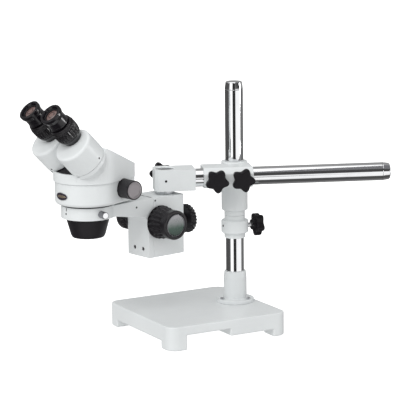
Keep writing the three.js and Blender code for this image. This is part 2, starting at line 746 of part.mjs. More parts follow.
function rackFace() {
  return FOCUS_AXLE.x - PINION.r - GAP;
}

function dovetailSlide() {
  const { bottom, top } = FOCUS_BODY;
  const front = BRACKET.back + GAP;
  const depth = FOCUS_BODY.front + DOVETAIL.depth - GAP - front;
  const bar = slab(dovetailOutline(front, depth, -GAP), bottom, top);
  const channel = block(
    [rackFace() - RACK.bodyDepth - RACK.toothDepth - GAP, -RACK.halfWidth - GAP, bottom - 1],
    [front + depth + 1, RACK.halfWidth + GAP, top + 1],
  );
  const { z, shankR } = BRACKET_SCREW;
  const holes = bracketScrewSides().map((y) => (
    rod(shankR + GAP, front - 1, BRACKET.back + 5 + GAP, COARSE, [0, y, z], [1, 0, 0])
  ));
  return cut(bar, channel, ...holes);
}

function focusRack() {
  const { bottom, top } = FOCUS_BODY;
  const { halfWidth, toothPitch, toothDepth, bodyDepth } = RACK;
  const tip = rackFace();
  const root = tip - toothDepth;
  const teeth = Math.floor((top - bottom - 2) / toothPitch);
  const outline = new THREE.Shape();
  outline.moveTo(root - bodyDepth, bottom + 1);
  outline.lineTo(root, bottom + 1);
  for (let i = 0; i < teeth; i += 1) {
    const z = bottom + 1 + (i + 0.5) * toothPitch;
    outline.lineTo(tip, z);
    outline.lineTo(root, z + toothPitch / 2);
  }
  outline.lineTo(root - bodyDepth, bottom + 1 + teeth * toothPitch);
  return profileAcross(outline, halfWidth);
}

function thumbScrew() {
  const { yaw, z, shankR, headR, headLength } = THUMB_SCREW;
  const seat = RING.outerR + 1;
  return turned([
    [0, RING.innerR + 0.2],
    [shankR, RING.innerR + 0.2],
    [shankR, seat],
    [headR, seat],
    [headR, seat + headLength],
    [0, seat + headLength],
  ], 18, [RING.x, 0, z], heading(yaw));
}

function buildBracket(mount) {
  piece(mount, 'focus_bracket', focusBracket(), PAINT);
  piece(mount, 'dovetail_slide', dovetailSlide(), BRASS);
  piece(mount, 'focus_rack', focusRack(), STEEL);
  bracketScrewSides().forEach((y, i) => {
    piece(mount, `bracket_screw_${i + 1}`, bracketScrew(y), STEEL);
  });
  piece(mount, 'ring_thumb_screw', thumbScrew(), STEEL);
}

// ---------------------------------------------------------------- microscope head
// Plan of the head: a round drum in front, tapering to a narrower squared rear.
function headPlan(drumR, rearHalf, rear, corner) {
  const centreX = rear - corner;
  const centreY = rearHalf - corner;
  const lean = Math.atan2(centreY, centreX) + Math.acos((drumR - corner) / Math.hypot(centreX, centreY));
  const shape = new THREE.Shape();
  shape.absarc(0, 0, drumR, lean, 2 * Math.PI - lean);
  shape.absarc(centreX, -centreY, corner, -lean, 0);
  shape.absarc(centreX, centreY, corner, 0, lean);
  return shape;
}

// Round pockets in the flanks of the head that the zoom knobs turn in.
function knobPockets() {
  const { x, z, knobR, boss, knobEnd } = ZOOM;
  return [-1, 1].map((side) => rod(knobR + 0.8, boss, knobEnd, FINE, [x, 0, z], [0, side, 0]));
}

function headLower() {
  const { drumR, bottom, seam, rear, rearHalf, rearCorner, edge } = HEAD;
  const { r, shoulderR, boreR } = HEAD_NECK;
  const tall = slab(headPlan(drumR, rearHalf, rear, rearCorner), bottom, seam + 2 * edge, edge, 11);
  const lid = block([-drumR - 5, -drumR - 5, seam], [rear + 5, drumR + 5, seam + 3 * edge]);
  const shoulder = rod(shoulderR, RING.top + GAP, bottom + 1, FINE);
  const neck = rod(r, HEAD_NECK.bottom, bottom + 1, FINE);
  const bosses = [-1, 1].map((side) => (
    rod(ZOOM.knobR - 1, rearHalf - 8, ZOOM.boss, MEDIUM, [ZOOM.x, 0, ZOOM.z], [0, side, 0])
  ));
  const boss = join(...bosses).subtract(lid);
  const neckBore = rod(boreR, HEAD_NECK.bottom - 1, seam, FINE);
  const wellFloor = bottom + OPTICS_WELL.floor;
  const { wall } = OPTICS_WELL;
  const opticsWell = rod(OPTICS_WELL.r, wellFloor, seam + 1, FINE);
  const driveWell = block([0, wall - rearHalf, wellFloor], [rear - wall, rearHalf - wall, seam + 1]);
  const knobAxis = [ZOOM.x, 0, ZOOM.z];
  const shaftBore = rod(ZOOM.shaftR + GAP, -ZOOM.boss - 5, ZOOM.boss + 5, COARSE, knobAxis, [0, 1, 0]);
  const casting = join(cut(tall, lid), shoulder, neck, boss);
  return cut(casting, neckBore, opticsWell, driveWell, shaftBore, ...knobPockets());
}

// From the frame of the inclined seat (X up the slope, Z along the tubes) to the head's.
function seatedOnSlope(shape) {
  return placed(shape, [PRISM_HOUSING.x, 0, PRISM_HOUSING.z], { y: -TUBE_TILT });
}

function housingEnvelope(side, ease) {
  const { y, r } = PRISM_HOUSING;
  const envelope = rod(r + ease, SEAT_PLATE.top - SEAT_PLATE.thickness - 6, 60, FINE);
  return seatedOnSlope(placed(envelope, [0, side * y, 0], { x: -side * TUBE_SPLAY }));
}

// Tapered socket that carries a prism housing and runs down into the casting.
function socketLobe(side) {
  const { y, r } = PRISM_HOUSING;
  const top = SEAT_PLATE.top - SEAT_PLATE.thickness - GAP;
  const cone = turned([
    [0, top - 30],
    [r - 16, top - 30],
    [r - 0.4, top - 4],
    [r - 0.4, top + 4],
    [0, top + 4],
  ]);
  return seatedOnSlope(placed(cone, [0, side * y, 0], { x: -side * TUBE_SPLAY }));
}

function headUpper() {
  const { drumR, rimTop, apexX, apexZ, rearZ } = UPPER;
  const { seam, rear, rearHalf, rearCorner } = HEAD;
  const bottom = seam + GAP;
  const margin = 5;
  const plan = headPlan(drumR, rearHalf + 0.6, rear + 0.6, rearCorner);
  const tall = slab(plan, bottom, apexZ + margin, 0, 11);
  const fall = (apexZ - rearZ) / (rear - apexX);
  const rearSlope = profileAcross(polygon([
    [apexX - 10, apexZ + 10 * fall],
    [rear + margin, rearZ - margin * fall],
    [rear + margin, apexZ + 30],
    [apexX - 10, apexZ + 30],
  ]), drumR + margin);
  const seatLevel = SEAT_PLATE.top - SEAT_PLATE.thickness - GAP;
  const aboveSeat = seatedOnSlope(block([-200, -100, seatLevel], [100, 100, 90]));
  const below = block([-150, -100, bottom - 60], [150, 100, bottom]);
  const lobes = join(socketLobe(-1), socketLobe(1)).subtract(below);
  const rim = tube(drumR, drumR - 4, bottom, rimTop).intersect(block([-100, -100, 0], [0, 100, 400]));
  const casting = join(cut(join(tall, lobes), rearSlope, aboveSeat), rim);
  const clearances = [-1, 1].map((side) => housingEnvelope(side, 0.8).intersect(aboveSeat));
  const lightPaths = [-1, 1].map((side) => rod(15, seam - 1, apexZ, MEDIUM, [-20, side * 24, 0]));
  const linkWell = rod(30, seam - 1, seam + 12, FINE);
  return cut(casting, ...clearances, ...lightPaths, linkWell, ...knobPockets());
}

function seatPlate() {
  const { top, thickness } = SEAT_PLATE;
  const plate = slab(roundedRect(-60, 40, -42, 42, 12), top - thickness, top - GAP);
  const lightPaths = [-1, 1].map((side) => (
    rod(13, top - thickness - 1, top + 1, MEDIUM, [8, side * 28, 0])
  ));
  const insideRim = rod(UPPER.drumR - 4 - GAP, HEAD.seam + 1, UPPER.apexZ + 20, FINE);
  return seatedOnSlope(cut(plate, ...lightPaths)).intersect(insideRim);
}

function objectiveShroud() {
  const { topR, bottomR, bottom, top, spigotTop, wall } = SHROUD;
  const spigotR = HEAD_NECK.boreR - GAP;
  return turnedRing([
    [bottomR - wall - 4, bottom],
    [bottomR - 2, bottom],
    [bottomR, bottom + 3],
    [topR, top],
    [spigotR, top],
    [spigotR, spigotTop],
    [spigotR - wall, spigotTop],
    [bottomR - wall, top - 4],
    [bottomR - wall, bottom + 4],
    [bottomR - wall - 4, bottom + 4],
  ]);
}

function lens(radius, bottom, top, bulge) {
  return turned([
    [0, bottom - bulge],
    [radius, bottom],
    [radius, top],
    [0, top],
  ], MEDIUM);
}

function zoomCarrier(bottom) {
  const { thickness, cellR, cellY } = ZOOM_CARRIER;
  const plate = slab(roundedRect(-22, 22, -34, 34, 10), bottom, bottom + thickness);
  const cells = [-1, 1].map((side) => (
    rod(cellR, bottom - 1, bottom + thickness + 1, COARSE, [0, side * cellY, 0])
  ));
  return cut(plate, ...cells);
}

function zoomShaft() {
  const { x, z, shaftR, drumR, knobEnd } = ZOOM;
  const shaft = rod(shaftR, -knobEnd + 5, knobEnd - 5, COARSE, [x, 0, z], [0, 1, 0]);
  return join(shaft, rod(drumR, -20, 20, COARSE, [x, 0, z], [0, 1, 0]));
}

function zoomKnob(side) {
  const { x, z, knobR, knobEnd, boss, shaftR } = ZOOM;
  const boreR = shaftR + GAP;
  const recessR = ZOOM_CAP_R + 0.4;
  return turnedRing([
    [boreR, boss + GAP],
    [knobR, boss + GAP],
    [knobR, knobEnd],
    [recessR, knobEnd],
    [recessR, knobEnd - 2],
    [boreR, knobEnd - 2],
  ], MEDIUM, [x, 0, z], [0, side, 0]);
}

function zoomCap(side) {
  const { x, z, knobEnd } = ZOOM;
  return rod(ZOOM_CAP_R, knobEnd - 1.7, knobEnd + 0.1, MEDIUM, [x, 0, z], [0, side, 0]);
}

function badge() {
  const { yaw, z, halfWidth, halfHeight, thickness } = BADGE_PLAQUE;
  const innerR = HEAD.drumR + GAP;
  const ring = tube(innerR + thickness, innerR, -halfHeight - 2, halfHeight + 2, 60);
  const oval = new THREE.SphereGeometry(1, 16, 8).scale(halfWidth, halfWidth, halfHeight);
  const plaque = ring.intersect(solid(oval.translate(-HEAD.drumR, 0, 0)));
  return placed(plaque, [0, 0, z], { z: yaw - 180 });
}

function buildHead(mount) {
  const head = subgroup(mount, [RING.x, 0, 0]);
  piece(head, 'head_lower_housing', headLower(), PAINT);
  piece(head, 'head_upper_housing', headUpper(), PAINT);
  piece(head, 'prism_seat_plate', seatPlate(), BLACK);
  piece(head, 'objective_shroud', objectiveShroud(), BLACK);
  const lensR = SHROUD.bottomR - SHROUD.wall - GAP;
  piece(head, 'objective_lens', lens(lensR, SHROUD.bottom + 5, SHROUD.bottom + 10, 1), GLASS);
  piece(head, 'name_badge', badge(), BADGE);
  piece(head, 'zoom_shaft', zoomShaft(), STEEL);
  [['right', -1], ['left', 1]].forEach(([where, side]) => {
    piece(head, `zoom_knob_${where}`, zoomKnob(side), BLACK);
    piece(head, `zoom_cap_${where}`, zoomCap(side), DISC);
  });
  piece(head, 'zoom_carrier_lower', zoomCarrier(ZOOM_CARRIER.lower), BRASS);
  piece(head, 'zoom_carrier_upper', zoomCarrier(ZOOM_CARRIER.upper), BRASS);
  return head;
}

// ---------------------------------------------------------------- binocular tubes
// Each housing is drawn about its own axis: Z along the tube, X up the slope, and the
// eyepiece toward the other housing (`inward` is +1 or -1 along Y).
function prismHousing(inward) {
  const { r, length, wall } = PRISM_HOUSING;
  const body = turned([
    [0, -length],
    [r, -length],
    [r, 0],
    [0, 0],
  ]);
  const well = rod(r - wall, -length - 1, -wall, FINE);
  const eyeHole = rod(EYE_TUBE.bore, -wall - 1, 1, MEDIUM, eyeAxis(inward));
  return cut(body, well, eyeHole);
}

function eyeAxis(inward) {
  return [EYE_OFFSET.up, inward * EYE_OFFSET.inward, 0];
}

function prism(inward) {
  const [x, y] = eyeAxis(inward);
  const outline = polygon([[-13, -13], [13, -13], [13, 13]]);
  const glass = slab(outline, -PRISM_HOUSING.wall - 24, -PRISM_HOUSING.wall - 4);
  return placed(glass, [x - 9, y - inward * 6, 0]);
}

function eyeTube(inward) {
  const { baseR, flangeR, flangeTop, r, bore, top } = EYE_TUBE;
  return turnedRing([
    [bore, GAP],
    [baseR, GAP],
    [baseR + 1.2, 5],
    [flangeR, flangeTop],
    [r, flangeTop],
    [r, top],
    [bore, top],
  ], MEDIUM, eyeAxis(inward));
}

function diopterRing(inward) {
  const { bottom, top, r } = DIOPTER;
  const boreR = EYE_TUBE.r + GAP;
  return turnedRing([
    [boreR, bottom],
    [r - 1.6, bottom],
    [r, bottom + 11],
    [r - 0.2, top - 7],
    [r - 2, top],
    [boreR, top],
  ], FINE, eyeAxis(inward));
}

function eyepiece(inward) {
  const { bottom, shoulder, rimTop, rimR, bodyR, barrelR } = EYEPIECE;
  return turnedRing([
    [barrelR - 1.7, bottom],
    [barrelR, bottom],
    [barrelR, shoulder],
    [bodyR, shoulder],
    [bodyR - 0.8, shoulder + 14],
    [rimR, rimTop - 5.5],
    [rimR, rimTop],
    [rimR - 4.3, rimTop],
    [13.6, rimTop - 3.5],
    [13.6, rimTop - 9],
    [barrelR - 1.7, rimTop - 9],
  ], MEDIUM, eyeAxis(inward));
}

function eyeLens(inward) {
  const seat = EYEPIECE.rimTop - 9 + GAP;
  return turned([
    [0, seat],
    [13.2, seat],
    [13.2, seat + 3],
    [0, seat + 5],
  ], MEDIUM, eyeAxis(inward));
}

function buildBinocular(head) {
  [['right', -1], ['left', 1]].forEach(([where, side]) => {
    const { x, y, z } = PRISM_HOUSING;
    const slope = subgroup(head, [x, side * y, z], { y: -TUBE_TILT });
    const barrel = subgroup(slope, [0, 0, 0], { x: -side * TUBE_SPLAY });
    const inward = -side;
    piece(barrel, `prism_housing_${where}`, prismHousing(inward), PAINT);
    piece(barrel, `prism_${where}`, prism(inward), GLASS);
    piece(barrel, `eye_tube_${where}`, eyeTube(inward), BLACK);
    piece(barrel, `diopter_ring_${where}`, diopterRing(inward), BLACK);
    piece(barrel, `eyepiece_${where}`, eyepiece(inward), BLACK);
    piece(barrel, `eye_lens_${where}`, eyeLens(inward), GLASS);
  });
}

// ---------------------------------------------------------------- whole instrument
const microscope = new THREE.Group();
const stand = subgroup(microscope, [0, 0, 0]);
buildBase(stand);
const boomFrame = buildClamp(stand);
buildBoom(boomFrame);
const mount = buildFocusMount(stand);
buildBracket(mount);
const head = buildHead(mount);
buildBinocular(head);

const bounds = new THREE.Box3().setFromObject(microscope, true);
const centre = bounds.getCenter(new THREE.Vector3());
stand.position.set(-centre.x, -centre.y, -bounds.min.z);

export default microscope;
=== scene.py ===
import json
import math

import bmesh
import bpy
from mathutils import Matrix, Vector


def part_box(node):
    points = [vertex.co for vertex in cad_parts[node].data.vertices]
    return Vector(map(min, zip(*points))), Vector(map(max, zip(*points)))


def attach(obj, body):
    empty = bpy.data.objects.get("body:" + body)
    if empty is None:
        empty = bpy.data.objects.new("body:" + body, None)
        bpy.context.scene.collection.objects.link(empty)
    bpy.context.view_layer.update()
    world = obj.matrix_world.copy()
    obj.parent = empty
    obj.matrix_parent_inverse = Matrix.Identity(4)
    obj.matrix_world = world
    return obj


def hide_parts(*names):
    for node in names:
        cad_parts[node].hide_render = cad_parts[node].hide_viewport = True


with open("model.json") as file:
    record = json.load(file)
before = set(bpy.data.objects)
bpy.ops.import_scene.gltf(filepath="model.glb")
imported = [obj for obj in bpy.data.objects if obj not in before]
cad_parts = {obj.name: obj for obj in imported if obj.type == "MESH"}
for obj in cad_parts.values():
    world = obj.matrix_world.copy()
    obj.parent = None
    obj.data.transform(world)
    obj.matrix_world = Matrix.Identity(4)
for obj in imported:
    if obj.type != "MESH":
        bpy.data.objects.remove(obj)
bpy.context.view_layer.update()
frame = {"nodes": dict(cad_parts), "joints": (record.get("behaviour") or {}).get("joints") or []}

MM = 0.001
UP = Vector((0, 0, 1))
nodes = frame["nodes"]
joints = {j["name"]: j for j in frame["joints"]}


# ---------------------------------------------------------------- local frames
def axes(origin, z, x):
    """Matrix of a right-handed frame from its origin (metres), Z direction and rough X direction."""
    z = Vector(z).normalized()
    x = Vector(x)
    x = (x - z * x.dot(z)).normalized()
    y = z.cross(x)
    m = Matrix.Identity(4)
    for column, v in enumerate((x, y, z)):
        for row in range(3):
            m[row][column] = v[row]
    m.translation = Vector(origin)
    return m


def sub(parent, at, z=(0, 0, 1), x=(1, 0, 0)):
    """A frame inside another: its origin in millimetres, its Z and X directions."""
    return parent @ axes(Vector(at) * MM, z, x)


def spot(name):
    return Vector(joints[name]["pos_m"])


def on_floor(point):
    return Vector((point.x, point.y, 0))


POST = axes(on_floor(spot("clamp_turn")), UP, (1, 0, 0))
BOOM_DIR = Vector(joints["boom_roll"]["axis"])
BOOM_HEIGHT = spot("boom_roll").z
BOOM = axes(on_floor(spot("clamp_turn")) + UP * BOOM_HEIGHT, UP, BOOM_DIR)
MOUNT_DIR = Vector(joints["clamp_wheel_turn"]["axis"])
MOUNT = axes(on_floor(spot("stub_turn")), UP, MOUNT_DIR)
HEAD = axes(on_floor(spot("head_turn")), UP, MOUNT_DIR)
SLOPE_X = (MOUNT_DIR + UP).normalized()
SLOPE = axes(sub(HEAD, (-56, 0, 369.4)).translation, UP - MOUNT_DIR, SLOPE_X)
BARREL = {s: axes(spot("pupil_distance_" + s), joints["pupil_distance_" + s]["axis"], SLOPE_X) for s in ("right", "left")}
EYE = {s: sub(BARREL[s], (11, 6.9 if s == "right" else -6.9, 0)) for s in ("right", "left")}
SIDE = {"right": -1, "left": 1}


# ---------------------------------------------------------------- mesh helpers
def soften(points, radius, closed=False, steps=4):
    """Rounds the corners of a line of (a, b) points; a third number gives a corner its own radius."""
    out = []
    n = len(points)
    for i, p in enumerate(points):
        b = Vector(p[:2])
        own = p[2] if len(p) > 2 else radius
        if (not closed and i in (0, n - 1)) or own <= 0:
            out.append(b)
            continue
        u = Vector(points[i - 1][:2]) - b
        v = Vector(points[(i + 1) % n][:2]) - b
        if u.length < 1e-6 or v.length < 1e-6 or u.normalized().dot(v.normalized()) < -0.9995:
            out.append(b)
            continue
        half = u.angle(v) / 2
        cut = min(own / math.tan(half), 0.48 * u.length, 0.48 * v.length)
        start, end = b + u.normalized() * cut, b + v.normalized() * cut
        for k in range(steps + 1):
            t = k / steps
            out.append(start * (1 - t) ** 2 + b * 2 * t * (1 - t) + end * t * t)
    return out


def to_object(bm, matrix=None):
    bmesh.ops.remove_doubles(bm, verts=bm.verts, dist=1e-7)
    bmesh.ops.recalc_face_normals(bm, faces=bm.faces)
    mesh = bpy.data.meshes.new("work")
    bm.to_mesh(mesh)
    bm.free()
    if matrix is not None:
        mesh.transform(matrix)
    o = bpy.data.objects.new("work", mesh)
    bpy.context.scene.collection.objects.link(o)
    return o


def lathe(profile, seg=96, edge=0.4, closed=False, shape=None, at=None, z=(0, 0, 1), x=(1, 0, 0)):
    """Body of revolution from (radius, height) points in mm. `shape(radius, height, angle)` changes the radius."""
    points = soften(profile, edge, closed)
    bm = bmesh.new()
    rings = []
    for r, h in points:
        if r < 1e-4:
            rings.append([bm.verts.new((0, 0, h * MM))] * seg)
            continue
        ring = []
        for k in range(seg):
            a = 2 * math.pi * k / seg
            rr = shape(r, h, a) if shape else r
            ring.append(bm.verts.new((rr * math.cos(a) * MM, rr * math.sin(a) * MM, h * MM)))
        rings.append(ring)
    pairs = list(zip(rings, rings[1:])) + ([(rings[-1], rings[0])] if closed else [])
    for low, high in pairs:
        for k in range(seg):
            loop = [low[k], low[(k + 1) % seg], high[(k + 1) % seg], high[k]]
            loop = [v for i, v in enumerate(loop) if v not in loop[:i]]
            if len(loop) > 2:
                bm.faces.new(loop)
    if not closed:
        for ring in (rings[0], rings[-1]):
            if ring[0] is not ring[1]:
                bm.faces.new(ring)
    matrix = axes(Vector(at) * MM, z, x) if at is not None else None
    return to_object(bm, matrix)


def prism(outline, z0, z1, low=0.0, high=0.0, steps=4):
    """Closed outline in the XY plane, extruded in Z; the edges at its two ends are rounded by `low` and `high`."""
    pts = [Vector(p) for p in outline]
    n = len(pts)
    area = sum(pts[i].x * pts[(i + 1) % n].y - pts[(i + 1) % n].x * pts[i].y for i in range(n))
    if area < 0:
        pts.reverse()
    normals = []
    for i, p in enumerate(pts):
        a = (p - pts[i - 1]).normalized()
        b = (pts[(i + 1) % n] - p).normalized()
        na, nb = Vector((a.y, -a.x)), Vector((b.y, -b.x))
        m = (na + nb).normalized()
        normals.append(m / max(0.3, m.dot(na)))
    layers = []
    for k in range(steps + 1 if low > 0 else 1):
        t = math.pi / 2 * (k / steps if low > 0 else 1)
        layers.append((low * (1 - math.sin(t)), z0 + low * (1 - math.cos(t))))
    for k in range(steps + 1 if high > 0 else 1):
        t = math.pi / 2 * (1 - k / steps if high > 0 else 1)
        layers.append((high * (1 - math.sin(t)), z1 - high * (1 - math.cos(t))))
    bm = bmesh.new()
    rings = [[bm.verts.new(((p.x - m.x * d) * MM, (p.y - m.y * d) * MM, h * MM)) for p, m in zip(pts, normals)] for d, h in layers]
    for a, b in zip(rings, rings[1:]):
        for i in range(n):
            bm.faces.new((a[i], a[(i + 1) % n], b[(i + 1) % n], b[i]))
    bm.faces.new(list(reversed(rings[0])))
    bm.faces.new(rings[-1])
    return to_object(bm)


def moved(o, matrix):
    o.data.transform(matrix)
    return o


def box(low, high):
    return prism([(low[0], low[1]), (high[0], low[1]), (high[0], high[1]), (low[0], high[1])], low[2], high[2])


def across(outline, half):
    """Outline in the XZ plane, extruded along Y from -half to half."""
    o = prism(outline, -half, half)
    return moved(o, Matrix(((1, 0, 0, 0), (0, 0, -1, 0), (0, 1, 0, 0), (0, 0, 0, 1))))


def rod(r, start, direction, length, seg=64):
    return lathe([(0, 0), (r, 0), (r, length), (0, length)], seg, 0, at=start, z=direction, x=(0.3, 0.2, 0.9))


def arc(cx, cy, r, a0, a1, n):
    return [(cx + r * math.cos(a0 + (a1 - a0) * i / n), cy + r * math.sin(a0 + (a1 - a0) * i / n)) for i in range(n + 1)]


def rounded_rect(left, right, front, back, r, n=12):
    q = math.pi / 2
    return (arc(right - r, front + r, r, -q, 0, n) + arc(right - r, back - r, r, 0, q, n)
            + arc(left + r, back - r, r, q, 2 * q, n) + arc(left + r, front + r, r, 2 * q, 3 * q, n))


def bake_modifiers(o):
    bpy.context.view_layer.update()
    mesh = bpy.data.meshes.new_from_object(o.evaluated_get(bpy.context.evaluated_depsgraph_get()))
    old = o.data
    o.modifiers.clear()
    o.data = mesh
    bpy.data.meshes.remove(old)
    return o


def combine(o, operation, *others):
    for other in others:
        m = o.modifiers.new("step", "BOOLEAN")
        m.operation = operation
        m.solver = "EXACT"
        m.object = other
        bake_modifiers(o)
        old = other.data
        bpy.data.objects.remove(other)
        bpy.data.meshes.remove(old)
    return o


def cut(o, *others):
    return combine(o, "DIFFERENCE", *others)


def join(o, *others):
    return combine(o, "UNION", *others)


def round_edges(o, width, angle=38, segments=3, clean=0.02):
    """Softens every edge sharper than `angle` degrees by `width` mm."""
    bm = bmesh.new()
    bm.from_mesh(o.data)
    bmesh.ops.remove_doubles(bm, verts=bm.verts, dist=clean * MM)
    bmesh.ops.dissolve_limit(bm, angle_limit=math.radians(0.4), verts=bm.verts, edges=bm.edges)
    bm.to_mesh(o.data)
    bm.free()
    m = o.modifiers.new("bevel", "BEVEL")
    m.width = width * MM
    m.segments = segments
    m.limit_method = "ANGLE"
    m.angle_limit = math.radians(angle)
    m.use_clamp_overlap = True
    m.harden_normals = False
    return bake_modifiers(o)


def round_outer_edges(o, width, angle, skip):
    """Softens the convex edges sharper than `angle` degrees, except those whose middle `skip` turns down."""
    bm = bmesh.new()
    bm.from_mesh(o.data)
    bmesh.ops.remove_doubles(bm, verts=bm.verts, dist=0.05 * MM)
    bmesh.ops.dissolve_limit(bm, angle_limit=math.radians(0.4), verts=bm.verts, edges=bm.edges)
    weight = bm.edges.layers.float.new("bevel_weight_edge")
    for e in bm.edges:
        if len(e.link_faces) == 2 and e.is_convex and e.calc_face_angle(0) > math.radians(angle):
            middle = (e.verts[0].co + e.verts[1].co) / 2 / MM
            e[weight] = 0.0 if skip(middle) else 1.0
    bm.to_mesh(o.data)
    bm.free()
    m = o.modifiers.new("bevel", "BEVEL")
    m.width = width * MM
    m.segments = 4
    m.limit_method = "WEIGHT"
    return bake_modifiers(o)


def keep_local(mesh):
    """Stores each point's place in the piece's own frame, which the finishes are drawn in."""
    attribute = mesh.attributes.new("local", "FLOAT_VECTOR", "POINT")
    attribute.data.foreach_set("vector", [c for v in mesh.vertices for c in v.co])


def show(o, name, place, body, material, slot, *replaced, sharp=40):
    """Gives a finished mesh its name, place, body and finish, and says which CAD nodes it stands for."""
    o.name = name
    o.data.name = name
    bm = bmesh.new()
    bm.from_mesh(o.data)
    for f in bm.faces:
        f.smooth = True
    for e in bm.edges:
        e.smooth = not (len(e.link_faces) == 2 and e.calc_face_angle(0) > math.radians(sharp))
    bm.to_mesh(o.data)
    bm.free()
    m = o.modifiers.new("weighted", "WEIGHTED_NORMAL")
    m.keep_sharp = True
    bake_modifiers(o)
    keep_local(o.data)
    o.data.transform(place)
    o.data.materials.clear()
    o.data.materials.append(material)
    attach(o, body)
    if replaced:
        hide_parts(*replaced)
    return o


# ---------------------------------------------------------------- materials
def set_stops(ramp, stops):
    """Fills a colour ramp from (position, colour) pairs in rising order."""
    (first, first_colour), (last, last_colour) = stops[0], stops[-1]
    ramp.elements[0].position, ramp.elements[0].color = first, (*first_colour, 1)
    ramp.elements[1].position, ramp.elements[1].color = last, (*last_colour, 1)
    for at, colour in stops[1:-1]:
        ramp.elements.new(at).color = (*colour, 1)


class Nodes:
    def __init__(self, name):
        self.material = bpy.data.materials.new(name)
        self.material.use_nodes = True
        self.tree = self.material.node_tree
        self.shader = self.tree.nodes["Principled BSDF"]
        local = self.tree.nodes.new("ShaderNodeAttribute")
        local.attribute_name = "local"
        self.coords = local.outputs["Vector"]

    def new(self, kind, **sockets):
        n = self.tree.nodes.new(kind)
        for key, value in sockets.items():
            self.put(n.inputs[key.replace("_", " ")], value)
        return n

    def put(self, socket, value):
        if isinstance(value, bpy.types.NodeSocket):
            self.tree.links.new(value, socket)
        else:
            socket.default_value = value

    def noise(self, scale, detail=3.0, rough=0.55, stretch=None, vector=None):
        source = vector or self.coords
        if stretch:
            m = self.tree.nodes.new("ShaderNodeMapping")
            m.inputs["Scale"].default_value = stretch
            self.tree.links.new(source, m.inputs["Vector"])
            source = m.outputs["Vector"]
        n = self.new("ShaderNodeTexNoise", Scale=scale, Detail=detail, Roughness=rough, Vector=source)
        return n.outputs["Fac"]

    def spread(self, value, low, high, to_low, to_high):
        n = self.tree.nodes.new("ShaderNodeMapRange")
        for key, v in zip(("Value", "From Min", "From Max", "To Min", "To Max"), (value, low, high, to_low, to_high)):
            self.put(n.inputs[key], v)
        return n.outputs["Result"]

    def ramp(self, value, *stops):
        n = self.tree.nodes.new("ShaderNodeValToRGB")
        set_stops(n.color_ramp, stops)
        self.put(n.inputs["Fac"], value)
        return n.outputs["Color"]

    def math(self, operation, a, b=0.0, clamp=False):
        n = self.tree.nodes.new("ShaderNodeMath")
        n.operation = operation
        n.use_clamp = clamp
        self.put(n.inputs[0], a)
        self.put(n.inputs[1], b)
        return n.outputs[0]

    def mix(self, factor, a, b):
        n = self.tree.nodes.new("ShaderNodeMix")
        n.data_type = "RGBA"
        self.put(n.inputs["Factor"], factor)
        for key, v in (("A", a), ("B", b)):
            socket = [s for s in n.inputs if s.name == key and s.type == "RGBA"][0]
            self.put(socket, v if isinstance(v, bpy.types.NodeSocket) else (*v, 1))
        return [s for s in n.outputs if s.type == "RGBA"][0]

    def bump(self, height, distance, strength=1.0, after=None):
        n = self.new("ShaderNodeBump", Height=height, Distance=distance * MM, Strength=strength)
        if after:
            self.put(n.inputs["Normal"], after)
        return n.outputs["Normal"]

    def edges(self, radius, low=0.03, high=0.35):
        """1 along worn outer edges, 0 on flats."""
        b = self.tree.nodes.new("ShaderNodeBevel")
        b.samples = 4
        b.inputs["Radius"].default_value = radius * MM
        g = self.tree.nodes.new("ShaderNodeNewGeometry")
        d = self.tree.nodes.new("ShaderNodeVectorMath")
        d.operation = "DOT_PRODUCT"
        self.tree.links.new(b.outputs["Normal"], d.inputs[0])
        self.tree.links.new(g.outputs["Normal"], d.inputs[1])
        away = self.math("SUBTRACT", 1.0, d.outputs["Value"])
        return self.spread(away, low, high, 0.0, 1.0)

    def split(self, vector=None):
        n = self.tree.nodes.new("ShaderNodeSeparateXYZ")
        self.tree.links.new(vector or self.coords, n.inputs[0])
        return n.outputs

    def set(self, **values):
        for key, value in values.items():
            self.put(self.shader.inputs[key.replace("_", " ")], value)
        return self.material


def paint(name, colour, worn, grain=1400.0):
    """Baked enamel: fine orange peel, faint dirt clouds, edges rubbed a little brighter."""
    n = Nodes(name)
    cloud = n.noise(14, 4)
    speck = n.noise(520, 2)
    tone = n.ramp(n.math("ADD", n.math("MULTIPLY", cloud, 0.8), n.math("MULTIPLY", speck, 0.2)),
                  (0.3, tuple(c * 0.955 for c in colour)), (0.62, colour), (0.85, tuple(min(1, c * 1.02) for c in colour)))
    rub = n.math("MULTIPLY", n.edges(0.9), n.spread(n.noise(90, 3), 0.42, 0.62, 0.0, 0.55))
    peel = n.bump(n.noise(grain, 2, 0.5), 0.05, 0.35)
    soft = n.bump(n.noise(240, 2, 0.5), 0.06, 0.3, peel)
    return n.set(Base_Color=n.mix(rub, tone, worn), Roughness=n.spread(n.noise(46, 4), 0.3, 0.7, 0.36, 0.48),
                 Normal=soft, Specular_IOR_Level=0.5, Coat_Weight=0.12, Coat_Roughness=0.22)


def black(name, colour=(0.0075, 0.0062, 0.0085), rough=(0.34, 0.5), grain=1500.0, depth=0.05, shine=0.22):
    """Moulded plastic or anodised alloy: fine texture, rubbed paler edges, dust in patches."""
    n = Nodes(name)
    dust = n.spread(n.noise(60, 5, 0.65), 0.45, 0.75, 0.0, 0.3)
    tone = n.mix(dust, colour, tuple(c * 1.8 + 0.002 for c in colour))
    rub = n.math("MULTIPLY", n.edges(0.5), n.spread(n.noise(140, 3), 0.4, 0.65, 0.1, 0.6))
    return n.set(Base_Color=n.mix(rub, tone, tuple(c * 2.5 + 0.012 for c in colour)),
                 Roughness=n.spread(n.noise(85, 4), 0.3, 0.7, *rough),
                 Normal=n.bump(n.noise(grain, 3, 0.6), depth, 0.5), Specular_IOR_Level=shine)


